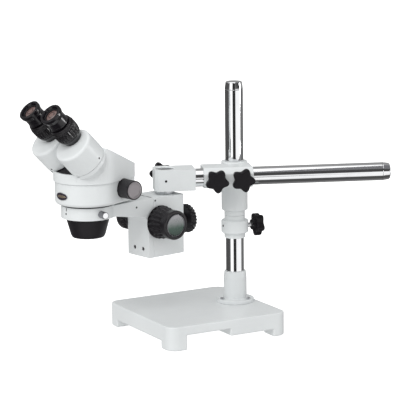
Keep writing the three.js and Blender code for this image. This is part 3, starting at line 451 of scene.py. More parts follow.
def metal(name, colour, rough, stretch, scratch=0.012, grain=420.0):
    """Bright metal: drawn or turned marks along one direction, smudges in the roughness."""
    n = Nodes(name)
    smudge = n.noise(30, 5, 0.6)
    marks = n.noise(grain, 4, 0.7, stretch)
    tone = n.mix(n.spread(smudge, 0.35, 0.7, 0.0, 1.0), colour, tuple(c * 0.93 for c in colour))
    dull = n.math("ADD", n.spread(smudge, 0.3, 0.75, rough[0], rough[1]), n.spread(marks, 0.3, 0.7, -0.01, 0.02))
    return n.set(Base_Color=tone, Metallic=1.0, Roughness=dull, Normal=n.bump(marks, scratch, 0.4))


def coated_glass_painted_reflections():
    """Lens under a bright eyepiece rim: brown and rose coating tint, with light and dark rings that are painted
    reflections, polished.
    """
    n = Nodes("coated_glass_painted_reflections")
    x, y, _ = n.split()
    radius = n.math("SQRT", n.math("ADD", n.math("MULTIPLY", x, x), n.math("MULTIPLY", y, y)))
    # Painted reflections: the colour steps between light and dark rings by radius over the coating tint.
    ring = n.math("ADD", n.math("DIVIDE", radius, 0.0135), n.spread(n.noise(55, 2), 0.3, 0.7, -0.02, 0.02))
    tone = n.ramp(ring, (0.0, (0.15, 0.085, 0.075)), (0.26, (0.2, 0.12, 0.105)), (0.4, (0.03, 0.016, 0.016)), (0.52, (0.16, 0.095, 0.085)),
                  (0.68, (0.2, 0.135, 0.125)), (0.8, (0.045, 0.028, 0.028)), (0.95, (0.01, 0.008, 0.009)))
    return n.set(Base_Color=tone, Roughness=n.spread(n.noise(120, 3), 0.35, 0.7, 0.03, 0.07),
                 Normal=n.bump(n.noise(60, 2), 0.02, 0.2), Specular_IOR_Level=0.9, Coat_Weight=1.0, Coat_Roughness=0.02)


def painted_reflection_disc_face():
    """Inlaid dark green label disc of the focus knobs, shading to grey at one side: the grey is a painted reflection.
    """
    n = Nodes("focus_disc")
    x, y, _ = n.split()
    # Painted reflection: the disc turns from its own dark green at the bottom to grey towards the top.
    painted_reflection_blend = n.math("ADD", n.math("DIVIDE", y, 0.038), n.spread(n.noise(90, 4), 0.3, 0.7, 0.46, 0.54))
    tone = n.ramp(painted_reflection_blend, (0.04, (0.012, 0.035, 0.024)), (0.36, (0.035, 0.075, 0.055)), (0.6, (0.2, 0.215, 0.215)), (1.0, (0.36, 0.35, 0.37)))
    turned = n.noise(700, 3, 0.6, (1, 1, 0.2))
    return n.set(Base_Color=tone, Metallic=0.35, Roughness=n.spread(n.noise(110, 4), 0.3, 0.7, 0.22, 0.36),
                 Normal=n.bump(turned, 0.015, 0.4), Coat_Weight=0.5, Coat_Roughness=0.1)


WHITE = (0.735, 0.76, 0.765)
BARE = (0.84, 0.85, 0.85)
mat = {
    "steel_paint": paint("painted_steel_finish", WHITE, BARE),
    "alloy_paint": paint("painted_alloy_finish", WHITE, BARE, 1700.0),
    "chrome": metal("chrome_finish", (0.93, 0.935, 0.95), (0.035, 0.085), (1, 1, 0.02), 0.006),
    "steel": metal("steel_finish", (0.62, 0.63, 0.65), (0.2, 0.34), (1, 1, 6), 0.02),
    "brass": metal("brass_finish", (0.72, 0.5, 0.2), (0.24, 0.4), (6, 1, 1), 0.02),
    "plastic": black("black_plastic_finish"),
    "knob": black("knob_plastic_finish", (0.011, 0.0095, 0.012), (0.26, 0.4), 900.0, 0.06, 0.4),
    "alloy": black("black_alloy_finish", (0.006, 0.005, 0.007), (0.1, 0.2), 1900.0, 0.012, 0.5),
    "grip": black("grip_rubber_finish", (0.008, 0.0068, 0.0085), (0.18, 0.3), 1300.0, 0.03, 0.5),
    "rubber": black("rubber_finish", (0.02, 0.02, 0.021), (0.7, 0.85), 1100.0, 0.09, 0.3),
    "dark": black("dark_steel_finish", (0.014, 0.014, 0.016), (0.3, 0.42), 1600.0, 0.02, 0.4),
    "hood": black("hood_alloy_finish", (0.0085, 0.007, 0.009), (0.42, 0.5), 1700.0, 0.015, 0.35),
    "socket": black("socket_screw_finish", (0.004, 0.004, 0.005), (0.4, 0.5), 1500.0, 0.01, 0.1),
    "cap": metal("zoom_cap_finish", (0.3, 0.28, 0.29), (0.3, 0.4), (1, 1, 0.2), 0.015),
    "badge": black("badge_enamel_finish", (0.03, 0.022, 0.034), (0.2, 0.3), 1500.0, 0.02, 0.5),
    "inlay": metal("badge_inlay_finish", (0.74, 0.62, 0.47), (0.35, 0.45), (1, 1, 1), 0.01),
    "knurl": metal("knurled_steel_finish", (0.33, 0.33, 0.35), (0.28, 0.4), (1, 1, 6), 0.02),
    "glass": coated_glass_painted_reflections(),
    "disc": painted_reflection_disc_face(),
}


# ---------------------------------------------------------------- base and post
def build_base():
    left, right, front, back, top = -196.4, 38.1, -119, 118.2, 44.25
    plate = prism(rounded_rect(left, right, front, back, 20, 18), 2.5, top)
    plate = cut(
        plate,
        box((-163, front - 5, -1), (-77.6, back + 5, 28.3)),
        box((left - 5, front + 35, -1), (left + 33.5, back - 35, 15.6)),
        box((-78.6, front - 5, -1), (right - 29, back + 5, 15.6)),
        box((right - 30, front + 35, -1), (right + 5, back - 35, 15.6)),
    )
    show(round_edges(plate, 2.4, 40, 4), "base_casting", POST, "base", mat["steel_paint"], "painted_steel", "base_plate")
    for where in ("front_right", "front_left", "rear_right", "rear_left"):
        node = "rubber_foot_" + where
        low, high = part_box(node)
        at = Vector(((low.x + high.x) / 2, (low.y + high.y) / 2, 0))
        foot = lathe([(0, 0.5), (3.4, 0.5), (3.8, 0), (7, 0), (6.6, 2.2), (0, 2.2)], 64, 0.5)
        show(foot, "foot_pad_" + where, axes(at, UP, (1, 0, 0)), "base", mat["rubber"], "rubber", node)
    flange = lathe([(16.3, 44.55), (33.5, 44.55), (33.5, 50.55, 1.2), (20.7, 50.55, 2.2), (20.5, 89.6, 1.5), (19, 100.6, 0.9), (16.3, 100.6)], 128, 0.4, True)
    show(flange, "post_socket", POST, "base", mat["steel_paint"], "painted_steel", "post_flange", sharp=60)
    for i, yaw in enumerate((60, 180, 300)):
        a = math.radians(yaw)
        head = lathe([(0, 0.9), (1.7, 0.9, 0.1), (1.9, 2.3, 0.2), (3.3, 2.4, 0.4), (3.6, 1.6), (3.6, 0), (2.5, 0), (2.5, -20), (0, -20)], 48, 0.25)
        place = sub(POST, (26.8 * math.cos(a), 26.8 * math.sin(a), 50.85))
        show(head, "flange_bolt_%d" % (i + 1), place, "base", mat["steel"], "steel", "flange_screw_%d" % (i + 1))
    tube = lathe([(13.6, 44.55), (16, 44.55), (16, 427, 0.5), (13.6, 427)], 160, 0.3, True)
    show(tube, "upright_post", POST, "base", mat["chrome"], "chrome", "post_tube", sharp=60)
    show(end_cap(), "post_end_cap", sub(POST, (0, 0, 427)), "base", mat["chrome"], "chrome", "post_cap", sharp=60)


def end_cap():
    return lathe([(0, -12), (13.3, -12), (13.3, 0.3), (15.7, 0.3, 0.2), (16, 0.8), (16, 2, 1.5), (14.6, 12.6, 1.6), (13.2, 14, 0.8), (0, 14)], 160, 0.4)


# ---------------------------------------------------------------- knobs and small screws
def star(r, depth, lobes, n):
    return lambda k: r - depth + depth * math.cos(lobes * 2 * math.pi * k / n)


def star_knob(name, place, seat, turn, body, node, hub=5.0):
    """Five-lobed clamp knob on a chrome stud; the frame's Z runs from the tube's axis out through the knob."""
    n = 200
    t = math.radians(turn)
    radius = star(20.9, 2.8, 5, n)
    outline = [(radius(k) * math.cos(2 * math.pi * k / n + t), radius(k) * math.sin(2 * math.pi * k / n + t)) for k in range(n)]
    low = seat + hub
    grip = prism(outline, low, low + 14, 2.6, 3.6, 8)
    hub_part = lathe([(4.2, seat), (9.3, seat, 0.8), (10.4, low + 1.4), (10.4, low + 2), (4.2, low + 2)], 72, 0.4, True)
    grip = join(grip, hub_part)
    show(grip, name, place, body, mat["plastic"], "black_plastic", node, sharp=35)
    stud = lathe([(0, 16.6), (3.4, 16.6, 0.5), (4, 17.4), (4, seat + 3), (0, seat + 3)], 48, 0.3)
    show(stud, name + "_stud", place, body, mat["chrome"], "chrome")


def set_screw(name, parent, at, direction, body, r=2.1, stand=0.25):
    """Black socket-head grub screw, its face just proud of the casting."""
    face = lathe([(0, stand - 0.12), (r * 0.42, stand - 0.12, 0.02), (r * 0.5, stand - 0.04, 0.02), (r * 0.92, stand, 0.2), (r, stand - 0.5), (r, -1.2), (0, -1.2)], 40, 0.1)
    x = (0, 0, 1) if abs(direction[2]) < 0.9 else (1, 0, 0)
    show(face, name, sub(parent, at, direction, x), body, mat["socket"], "steel")


# ---------------------------------------------------------------- collar and cross clamp
def build_clamp():
    collar = lathe([(16.3, 161.3), (18.5, 161.3, 0.8), (18.5, 167.7, 1.2), (24, 171.7, 1.4), (24, 193.2, 1.8), (18.3, 193.2, 1.0),
                    (18.3, 202, 0.7), (16.3, 202)], 128, 0.3, True)
    show(collar, "stop_collar", POST, "collar", mat["steel_paint"], "painted_steel", "safety_collar", sharp=60)
    knob_axis = Vector(joints["collar_screw_turn"]["axis"])
    place = axes(on_floor(spot("clamp_turn")) + UP * spot("collar_screw_turn").z, knob_axis, UP)
    star_knob("collar_grip", place, 32, 180, "collar_screw", "collar_knob")
    set_screw("collar_grub_screw", POST, (-23.95, -0.6, 184.2), (-1, -0.03, 0), "collar")

    sleeve = lathe([(0, -77.2), (18.3, -77.2, 0.8), (18.3, -70, 0.8), (23.3, -66.9, 1.4), (23.3, 20, 1.6), (0, 20)], 128, 0.4)
    section = soften([(-32, -18, 0.8), (11, -18, 5), (21, -8, 5), (21, 8, 5), (11, 18, 5), (-32, 18, 0.8)], 3, True, 6)
    block = prism([(v.x, v.y) for v in section], -63, 24, 1.2, 1.2, 3)
    turn = Matrix(((0, 0, 1, 0), (-1, 0, 0, -46 * MM), (0, 1, 0, 0), (0, 0, 0, 1)))
    body = join(sleeve, moved(block, turn))
    body = cut(body, rod(16.3, (0, 0, -100), (0, 0, 1), 150, 128), rod(16.3, (-150, -46, 0), (1, 0, 0), 300, 128))
    show(round_edges(body, 0.7, 42, 3), "clamp_casting", BOOM, "clamp", mat["alloy_paint"], "painted_alloy", "cross_clamp", sharp=50)
    for i, (x, turn) in enumerate(((-42.5, -86), (3.5, -76))):
        place = sub(BOOM, (x, -46, -2), (0, -1, 0), (1, 0, 0))
        star_knob("boom_grip_%d" % (i + 1), place, 21.3, turn, "clamp_screw_%d" % (i + 1), "boom_knob_%d" % (i + 1))


# ---------------------------------------------------------------- boom and swivel block
def build_boom():
    line = sub(BOOM, (0, -46, 0), (1, 0, 0), (0, 0, 1))
    tube = lathe([(13.6, -112), (16, -112, 0.5), (16, 256, 0.5), (13.6, 256)], 160, 0.3, True)
    show(tube, "boom_bar", line, "boom", mat["chrome"], "chrome", "boom_tube", sharp=60)
    show(end_cap(), "boom_end_cap", sub(BOOM, (256, -46, 0), (1, 0, 0), (0, 0, 1)), "boom", mat["chrome"], "chrome", "boom_cap", sharp=60)
    outline = soften([(-149.6, -17.6, 2.5), (-143.2, -24, 2.5), (-78.6, -24, 0.8), (-78.6, 24, 0.8), (-143.2, 24, 2.5), (-149.6, 17.6, 2.5)], 1, True, 5)
    block = prism([(v.x, v.y) for v in outline], -18.8, 18.8, 0, 0)
    bore = lathe([(0, -25), (16.3, -25), (16.3, 17.3), (18.3, 19.3), (18.3, 25), (0, 25)], 128, 0, at=(-130, 0, 0))
    block = cut(block, bore, rod(16.3, (-112.3, 0, 0), (1, 0, 0), 60, 128), rod(4.3, (-130, 10, 0), (0, 1, 0), 30, 48))
    moved(block, Matrix.Translation((0, -46 * MM, 0)))
    show(round_edges(block, 0.8, 40, 3), "swivel_casting", BOOM, "swivel", mat["alloy_paint"], "painted_alloy", "swivel_block", sharp=50)
    place = sub(BOOM, (-130, -46, 0), (0, 1, 0), (1, 0, 0))
    star_knob("swivel_grip", place, 36, 180, "swivel_screw", "swivel_knob", 9.0)
    set_screw("swivel_grub_screw", BOOM, (-130.7, -69.9, -0.6), (0, -1, 0), "swivel", 2.3)


# ---------------------------------------------------------------- focus mount
def fluted(count, depth, low, high, fade=1.0, power=1.0):
    """Radius change that cuts `count` flutes between two heights and fades out at the ends."""
    def shape(r, h, a):
        inside = max(0.0, min(1.0, (h - low) / fade, (high - h) / fade))
        wave = (0.5 - 0.5 * math.cos(count * a)) ** power
        return r - depth * wave * inside
    return shape


def build_mount():
    stub = lathe([(0, 146.5), (16, 146.5, 1.2), (16, 296.6, 0.9), (0, 296.6)], 128, 0.4)
    stub = cut(stub, box((-20, -2, 293.6), (20, 2, 300)))
    show(stub, "stub_column", MOUNT, "focus_mount", mat["steel"], "steel", "stub_post", sharp=30)

    body = prism(rounded_rect(-49.5, 18.3, -29.5, 29.5, 2.4, 6), 150.8, 254.5)
    boss = lathe([(0, 10), (12, 10), (12, 29.5, 1), (0, 29.5)], 96, 0.3, at=(0, 0, 203), z=(1, 0, 0))
    collar_boss = lathe([(0, 12), (11, 12), (11, 32.5, 0.6), (0, 32.5)], 96, 0.3, at=(-38, 0, 213), z=(0, -1, 0))
    groove = prism([(-55, -14.2), (-49.4, -15.3), (-43.5, -19.3), (-43.5, 19.3), (-49.4, 15.3), (-55, 14.2)], 140, 260)
    body = cut(join(body, boss, collar_boss), rod(16.3, (0, 0, 140), (0, 0, 1), 130, 128), groove)
    show(round_edges(body, 0.9, 42, 3), "focus_casting", MOUNT, "focus_mount", mat["alloy_paint"], "painted_alloy", "focus_body", sharp=50)
    set_screw("focus_grub_screw", MOUNT, (-45.7, -29.45, 250.6), (0, -1, 0), "focus_mount", 1.7)

    wheel_place = sub(MOUNT, (0, 0, 203), (1, 0, 0), (0, 0, 1))
    wheel = lathe([(4.2, 29.8), (9, 29.8, 0.6), (9, 42, 0.3), (22, 42, 1.0), (25.5, 44.4, 1.4), (25.5, 51.2, 1.6), (22.5, 54, 1.2), (13, 54, 0.8),
                   (11.5, 52.6, 0.6), (4.2, 52.6)], 240, 0.4, True, shape=lambda r, h, a: r - 2.4 * (0.5 - 0.5 * math.cos(24 * a)) ** 0.7 * max(0.0, min(1.0, (r - 18) / 5)) * (h > 40))
    show(wheel, "stub_handwheel", wheel_place, "clamp_wheel", mat["knob"], "black_plastic", "stub_clamp_wheel", sharp=50)
    wheel_stud = lathe([(0, 16.6), (4, 16.6, 0.5), (4, 52.9, 0.6), (0, 52.9)], 48, 0.3)
    show(wheel_stud, "stub_handwheel_stud", wheel_place, "clamp_wheel", mat["steel"], "steel")

    tension_place = sub(MOUNT, (-38, 0, 213), (0, -1, 0), (0, 0, 1))
    ring = lathe([(4.3, 32.8), (29, 32.8, 1.2), (29, 34.6, 0), (29, 35.6, 0), (29, 41.2, 0), (28.8, 42, 0), (27.9, 44, 0.6), (27.2, 45.7, 0.8), (4.3, 45.7)], 288, 0.3, True,
                 shape=lambda r, h, a: r - (2.6 * (0.5 - 0.5 * math.cos(20 * a)) ** 0.6 if r > 20 and 33.5 < h else 0))
    show(ring, "tension_grip", tension_place, "tension_ring", mat["knob"], "black_plastic", "tension_collar", sharp=50)

    for side, name in ((-1, "right"), (1, "left")):
        start = 46.0 if side < 0 else 29.8
        place = sub(MOUNT, (-38, 0, 213), (0, side, 0), (0, 0, 1))
        profile = [(4.3, start), (27, start, 0.8), (27, start + 1.5, 0), (26.4, start + 4, 0), (24.6, start + 9, 0), (24, start + 12, 2), (24.5, start + 15, 0),
                   (25.4, start + 18, 1.5), (25.4, start + 20, 0), (25.4, start + 28.4, 0.8), (24.2, start + 30, 1.0), (20.6, start + 30, 0.5), (19.4, start + 29.2, 0.2),
                   (19.4, start + 27.4), (4.3, start + 27.4)]
        knob = lathe(profile, 288, 0.3, True, shape=fluted(20, 1.9, start - 0.5, start + 17, 1.0, 0.7))
        show(knob, "focus_grip_" + name, place, "focus_drive", mat["knob"], "black_plastic", "focus_knob_" + name, sharp=50)
        turn = sub(MOUNT, (-38, 0, 213), (0, side, 0), (-side, 0, 0))
        disc = lathe([(0, start + 27.8), (17.9, start + 27.8), (17.9, start + 29.5, 0.3), (17.2, start + 29.7), (0, start + 29.9)], 128, 0.2)
        show(disc, "focus_disc_" + name, turn, "focus_drive", mat["disc"], "focus_disc", "focus_cap_" + name, sharp=50)
        trim = lathe([(17.95, start + 27.8), (19.1, start + 27.8), (19.1, start + 29.9, 0.3), (18.5, start + 30.2, 0.2), (17.95, start + 29.8)], 128, 0.15, True)
        show(trim, "focus_disc_rim_" + name, turn, "focus_drive", mat["knurl"], "focus_disc", sharp=50)


# ---------------------------------------------------------------- bracket and ring
def build_bracket():
    knee = [(-50.1, 150.8), (-50.1, 255.5), (-100, 255.5), (-141, 244), (-141, 235.8), (-74, 224.8)]
    knee += [(x, z) for x, z in arc(-74, 210.8, 14, math.pi / 2, 0, 12)] + [(-60, 150.8)]
    casting = across(knee, 29.5)
    join_at = math.radians(55)
    outline = [(-55, -29.5), (-55, 29.5), (-90, 29.5)] + arc(-168.5, 0, 45.4, join_at, 2 * math.pi - join_at, 90) + [(-90, -29.5)]
    arm = prism(outline, 235.8, 255.5)
    lip = lathe([(0, 250), (45.4, 250), (45.4, 257, 0.8), (0, 257)], 160, 0.4, at=(-168.5, 0, 0))
    casting = cut(join(casting, arm, lip), rod(38, (-168.5, 0, 220), (0, 0, 1), 50, 160))
    for node in ("bracket_screw_1", "bracket_screw_2"):
        low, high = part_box(node)
        middle = MOUNT.inverted() @ ((low + high) / 2)
        casting = cut(casting, rod((high.z - low.z) * 500 + 0.35, (-70, middle.y / MM, middle.z / MM), (1, 0, 0), 14, 48))
    bracket = round_edges(casting, 0.9, 42, 3)
    show(bracket, "bracket_casting", MOUNT, "bracket", mat["alloy_paint"], "painted_alloy", "focus_bracket", sharp=50)
    set_screw("arm_grub_screw", MOUNT, (-86.6, -29.45, 244), (0, -1, 0), "bracket", 1.8)
    set_screw("ring_grub_screw", HEAD, (-45.3, 0.2, 245.8), (-1, 0, 0), "bracket", 1.8)
    yaw = math.radians(262)
    thumb = lathe([(0, 38.2), (3, 38.2, 0.3), (3, 46.4, 0), (6, 46.4, 0.5), (6, 47.6, 0), (6, 48.6, 0), (6, 60.2, 0), (6, 61.9, 0.7), (5.1, 61.9, 0.2), (5.05, 61.1), (0, 61.1)],
                  180, 0.3, shape=lambda r, h, a: r - (0.45 * (0.5 - 0.5 * math.cos(30 * a)) if r > 5.5 and 47.8 < h < 61 else 0))
    place = sub(HEAD, (0, 0, 246.3), (math.cos(yaw), math.sin(yaw), 0), (0, 0, 1))
    show(thumb, "ring_thumb_grip", place, "ring_screw", mat["knurl"], "steel", "ring_thumb_screw", sharp=40)
    face = lathe([(0, 61.0), (5.0, 61.0), (5.0, 61.6, 0.2), (0, 61.85)], 64, 0.2)
    show(face, "ring_thumb_face", place, "ring_screw", mat["chrome"], "steel")


# ---------------------------------------------------------------- microscope head
def head_plan(drum, rear_half, rear, corner):
    cx, cy = rear - corner, rear_half - corner
    lean = math.atan2(cy, cx) + math.acos((drum - corner) / math.hypot(cx, cy))
    return (arc(0, 0, drum, lean, 2 * math.pi - lean, 96) + arc(cx, -cy, corner, -lean, 0, 12)
            + arc(cx, cy, corner, 0, lean, 12))


def knob_pockets():
    return [rod(17.1, (42, side * 43.5, 285), (0, side, 0), 33, 96) for side in (-1, 1)]


def on_slope(o):
    """From the frame of the inclined seat to the head's frame."""
    return moved(o, HEAD.inverted() @ SLOPE)


def on_barrel(o, side):
    return moved(o, HEAD.inverted() @ BARREL[side])


def above_seat(level):
    return on_slope(box((-200, -100, level), (100, 100, 90)))


def build_head():
    lower = prism(head_plan(55, 36, 77.5, 8), 259.8, 298.8, 6, 0.6, 8)
    neck = lathe([(0, 236.2), (37.4, 236.2, 0.6), (37.4, 257.3, 0), (43, 257.3, 0.6), (43, 262), (0, 262)], 128, 0.3)
    bosses = [rod(15.3, (42, side * 28, 285), (0, side, 0), 15.5, 96) for side in (-1, 1)]
    lower = join(lower, neck, *bosses)
    lower = cut(lower, box((0, -80, 298.8), (80, 80, 310)), *knob_pockets())
    show(round_edges(lower, 0.6, 42, 3), "head_lower_casting", HEAD, "head", mat["alloy_paint"], "painted_alloy", "head_lower_housing", sharp=50)

    seat_level = -46.9
    upper = prism(head_plan(57.4, 36.6, 78.1, 8), 299.1, 373.5, 0.6, 0, 3)
    fall = (368.5 - 322) / (77.5 + 21)
    slope = across([(-31, 368.5 + 10 * fall), (85, 322 - 7.5 * fall), (85, 410), (-31, 410)], 70)
    upper = cut(upper, slope)
    rim = cut(lathe([(53.4, 290), (62, 290), (62, 316), (53.4, 316)], 192, 0, True), box((0, -100, 280), (100, 100, 330)))
    upper = cut(upper, cut(above_seat(seat_level), rim))
    for side in ("right", "left"):
        cone = lathe([(0, seat_level - 30), (17.8, seat_level - 30), (33.4, seat_level - 4, 2), (33.4, -43.95), (0, -43.95)], 128, 0)
        cone = cut(on_barrel(cone, side), box((-150, -100, 200), (150, 100, 299.13)), on_slope(box((-60.3, -42.3, seat_level), (40.3, 42.3, -40))))
        upper = join(upper, cone)
    for side in ("right", "left"):
        upper = cut(upper, on_barrel(lathe([(0, -43.9), (34.6, -43.9), (34.6, 60), (0, 60)], 128, 0), side))
    upper = cut(upper, *knob_pockets())
    by_pocket = lambda p: math.hypot(p.x - 42, p.z - 285) < 18 or p.z < 299.5
    upper = round_outer_edges(upper, 1.3, 40, by_pocket)
    show(upper, "head_upper_casting", HEAD, "head", mat["alloy_paint"], "painted_alloy", "head_upper_housing", sharp=20)
    seat = on_slope(prism(rounded_rect(-60, 26, -42, 42, 4, 6), -46.8, -44.1))
    seat = combine(seat, "INTERSECT", prism(head_plan(52.8, 35, 76, 8), 290, 420))
    show(round_edges(seat, 0.3), "prism_seat", HEAD, "head", mat["hood"], "black_alloy", "prism_seat_plate")
    # Painted shade: a black ring fills the gap between the head and the bracket ring, where shadow falls.
    painted_shadow_ring = lathe([(41, 257.25), (44.6, 257.25, 0.3), (45.6, 258), (45.6, 259.8), (41, 259.8)], 128, 0.2, True)
    show(painted_shadow_ring, "head_seat_shadow_ring", HEAD, "head", mat["hood"], "black_alloy")

    shroud = lathe([(21.4, 201.2, 0.3), (26.8, 201.2, 0.8), (28.8, 204.2, 1.0), (29.3, 206, 0), (29.6, 206.4, 0.1), (37.2, 233.6, 0.2), (37.6, 234.6, 0.3), (37.6, 235.9, 0.4), (29.7, 235.9),
                    (29.7, 250), (26.3, 250), (25.4, 231.9), (25.4, 205.2), (21.4, 205.2)], 160, 0.3, True)
    show(shroud, "objective_hood", HEAD, "head", mat["hood"], "black_alloy", "objective_shroud", sharp=40)
    lens = lathe([(0, 205.1), (8, 205.3, 4), (16, 205.9, 4), (25.1, 207.4, 0.4), (25.1, 211.2), (0, 211.2)], 96, 0.3)
    show(lens, "objective_glass", HEAD, "head", mat["glass"], "glass", "objective_lens", sharp=40)

    badge_place = sub(HEAD, (0, 0, 277), (0, 0, 1), (-math.cos(math.radians(1)), -math.sin(math.radians(1)), 0))
    show(oval_plaque(14.8, 6.5, 55.3, 0.5, 0.2), "badge_plate", badge_place, "head", mat["steel"], "badge", "name_badge", sharp=60)
    show(oval_plaque(13.9, 5.6, 55.5, 0.4, 0.1), "badge_field", badge_place, "head", mat["badge"], "badge", sharp=60)
    show(oval_plaque(11.2, 2.3, 55.6, 0.4, 0.1), "badge_band", badge_place, "head", mat["inlay"], "badge", sharp=60)

    for side, name in ((-1, "right"), (1, "left")):
        place = sub(HEAD, (42, 0, 285), (0, side, 0), (0, 0, 1))
        profile = [(4.3, 43.8), (16.3, 43.8, 0.6), (16.3, 45.4, 0), (16.3, 46.2, 0), (16.3, 70.8, 0), (16.3, 71.6, 0), (16.3, 76, 1.1), (14.8, 76, 0.2), (14.8, 74), (4.3, 74)]
        knob = lathe(profile, 300, 0.3, True, shape=fluted(60, 0.4, 45.4, 71.6, 0.8))
        show(knob, "zoom_grip_" + name, place, "zoom_drive", mat["knob"], "black_plastic", "zoom_knob_" + name, sharp=50)
        cap = lathe([(0, 74.3), (14.4, 74.3), (14.4, 76.1, 0.5), (11.6, 76.1, 0.4), (11, 75.7, 0.4), (0, 75.7)], 96, 0.3)
        show(cap, "zoom_disc_" + name, place, "zoom_drive", mat["cap"], "zoom_disc", "zoom_cap_" + name, sharp=50)


def oval_plaque(half_width, half_height, radius, thickness, edge, n=72, rows=10):
    """Thin oval plate bent round the drum; its local +X points away from the drum's axis."""
    bm = bmesh.new()
    layers = [(1.0, 0.0), (1.0, thickness - edge), (1 - edge / half_height, thickness)]
    layers += [((1 - edge / half_height) * (1 - k / rows), thickness) for k in range(1, rows)]

    def point(u, v, lift):
        a = u / radius
        r = radius + lift
        return bm.verts.new((r * math.cos(a) * MM, r * math.sin(a) * MM, v * MM))
    rings = [[point(s * half_width * math.cos(2 * math.pi * k / n), s * half_height * math.sin(2 * math.pi * k / n), h) for k in range(n)] for s, h in layers]
    tip = point(0, 0, thickness)
    for a, b in zip(rings, rings[1:]):
        for k in range(n):
            bm.faces.new((a[k], a[(k + 1) % n], b[(k + 1) % n], b[k]))
    for k in range(n):
        bm.faces.new((rings[-1][k], rings[-1][(k + 1) % n], tip))
    bm.faces.new(list(reversed(rings[0])))
    return to_object(bm)


# ---------------------------------------------------------------- binocular tubes
def build_binocular():
    for name in ("right", "left"):
        inward = 6.9 if name == "right" else -6.9
        housing = lathe([(0, -43.5), (33.8, -43.5, 0.8), (33.8, 0, 5), (0, 0)], 160, 0)
        housing = cut(housing, rod(28.8, (0, 0, -50), (0, 0, 1), 45, 96), rod(12, (11, inward, -20), (0, 0, 1), 30, 64))
        show(housing, "prism_casting_" + name, BARREL[name], "prism_tube_" + name, mat["alloy_paint"], "painted_alloy", "prism_housing_" + name, sharp=35)
        for k, (deg, h) in enumerate({"right": ((-79.7, -37.6),), "left": ((-170.5, -38),)}[name]):
            a = math.radians(deg)
            set_screw("housing_grub_screw_%s" % name, BARREL[name], (33.7 * math.cos(a), 33.7 * math.sin(a), h), (math.cos(a), math.sin(a), 0), "prism_tube_" + name, 1.7)
        tube = lathe([(12, 0.3), (16.4, 0.3, 0.3), (16.6, 2.4, 0.6), (16.9, 2.9, 0.2), (17.6, 5, 1), (20.2, 10.4, 1), (20.2, 11.7, 0.5), (15, 11.7), (15, 35), (12, 35)], 128, 0.2, True)
        show(tube, "ocular_tube_" + name, EYE[name], "prism_tube_" + name, mat["alloy"], "black_alloy", "eye_tube_" + name, sharp=40)

        def ribs(r, h, a):
            if r < 18:
                return r
            long_part = max(0.0, min(1.0, (h - 14.2) / 1.2, (31.0 - h) / 1.2))
            fine_part = max(0.0, min(1.0, (h - 32.4) / 0.5, (36.8 - h) / 0.5))
            wide = (0.5 - 0.5 * math.cos(26 * a)) ** 0.7
            narrow = 0.5 - 0.5 * math.cos(78 * a)
            return r - 1.15 * wide * long_part - 0.4 * narrow * fine_part
        profile = [(15.3, 12), (20.4, 12, 0.6), (20.9, 13.8, 0.2), (21.1, 14.4, 0), (21.4, 15.6, 0), (22, 23, 2), (21.9, 29.6, 0), (21.85, 30.8, 0), (21.8, 31.4, 0.2),
                   (21.1, 31.9, 0.2), (21.3, 32.5, 0), (21.2, 33, 0), (20.5, 36.2, 0), (20.4, 36.8, 0), (20, 38.4, 0.6), (15.3, 38.4)]
        ring = lathe(profile, 468, 0.2, True, shape=ribs)
        show(ring, "diopter_grip_" + name, EYE[name], "diopter_" + name, mat["grip"], "black_plastic", "diopter_ring_" + name, sharp=55)
        ocular = lathe([(10, 17), (11.7, 17, 0.3), (11.7, 40.5), (17.8, 40.5, 0.8), (17.6, 44, 0), (17.2, 44.3, 0.2), (17.0, 54.5, 1.5), (17.6, 56.2, 0.8), (19.4, 61.1, 1.2), (19.4, 66.6, 1.6),
                        (15.1, 66.6, 0.6), (13.6, 63.1, 0.4), (13.6, 57.6), (10, 57.6)], 144, 0.3, True)
        show(ocular, "ocular_body_" + name, EYE[name], "ocular_" + name, mat["alloy"], "black_alloy", "eyepiece_" + name, sharp=40)
        retainer = lathe([(12.3, 61.2), (12.5, 62.2, 0.2), (13.4, 62.5, 0.2), (13.4, 59.9), (12.4, 59.9)], 96, 0.1, True)
        show(retainer, "ocular_retainer_" + name, EYE[name], "ocular_" + name, mat["dark"], "black_alloy", sharp=40)
        lens = lathe([(0, 57.9), (13.2, 57.9), (13.2, 60.3, 0.3), (9, 61.6, 3), (4.5, 62.5, 3), (0, 62.8)], 96, 0.2)
        show(lens, "ocular_glass_" + name, EYE[name], "ocular_" + name, mat["glass"], "glass", "eye_lens_" + name, sharp=40)


# ---------------------------------------------------------------- CAD nodes that stay visible
def finish_nodes():
    looks = {
        "zoom_shaft": "steel", "zoom_carrier_lower": "brass", "zoom_carrier_upper": "brass", "focus_shaft": "steel",
        "dovetail_slide": "dark", "focus_rack": "steel", "bracket_screw_1": "cap", "bracket_screw_2": "cap", "prism_right": "glass", "prism_left": "glass",
    }
    for node, look in looks.items():
        o = nodes[node]
        keep_local(o.data)
        o.data.materials.clear()
        o.data.materials.append(mat[look])
        m = o.modifiers.new("bevel", "BEVEL")
        m.width = 0.25 * MM
        m.segments = 2
        m.limit_method = "ANGLE"
        m.angle_limit = math.radians(40)


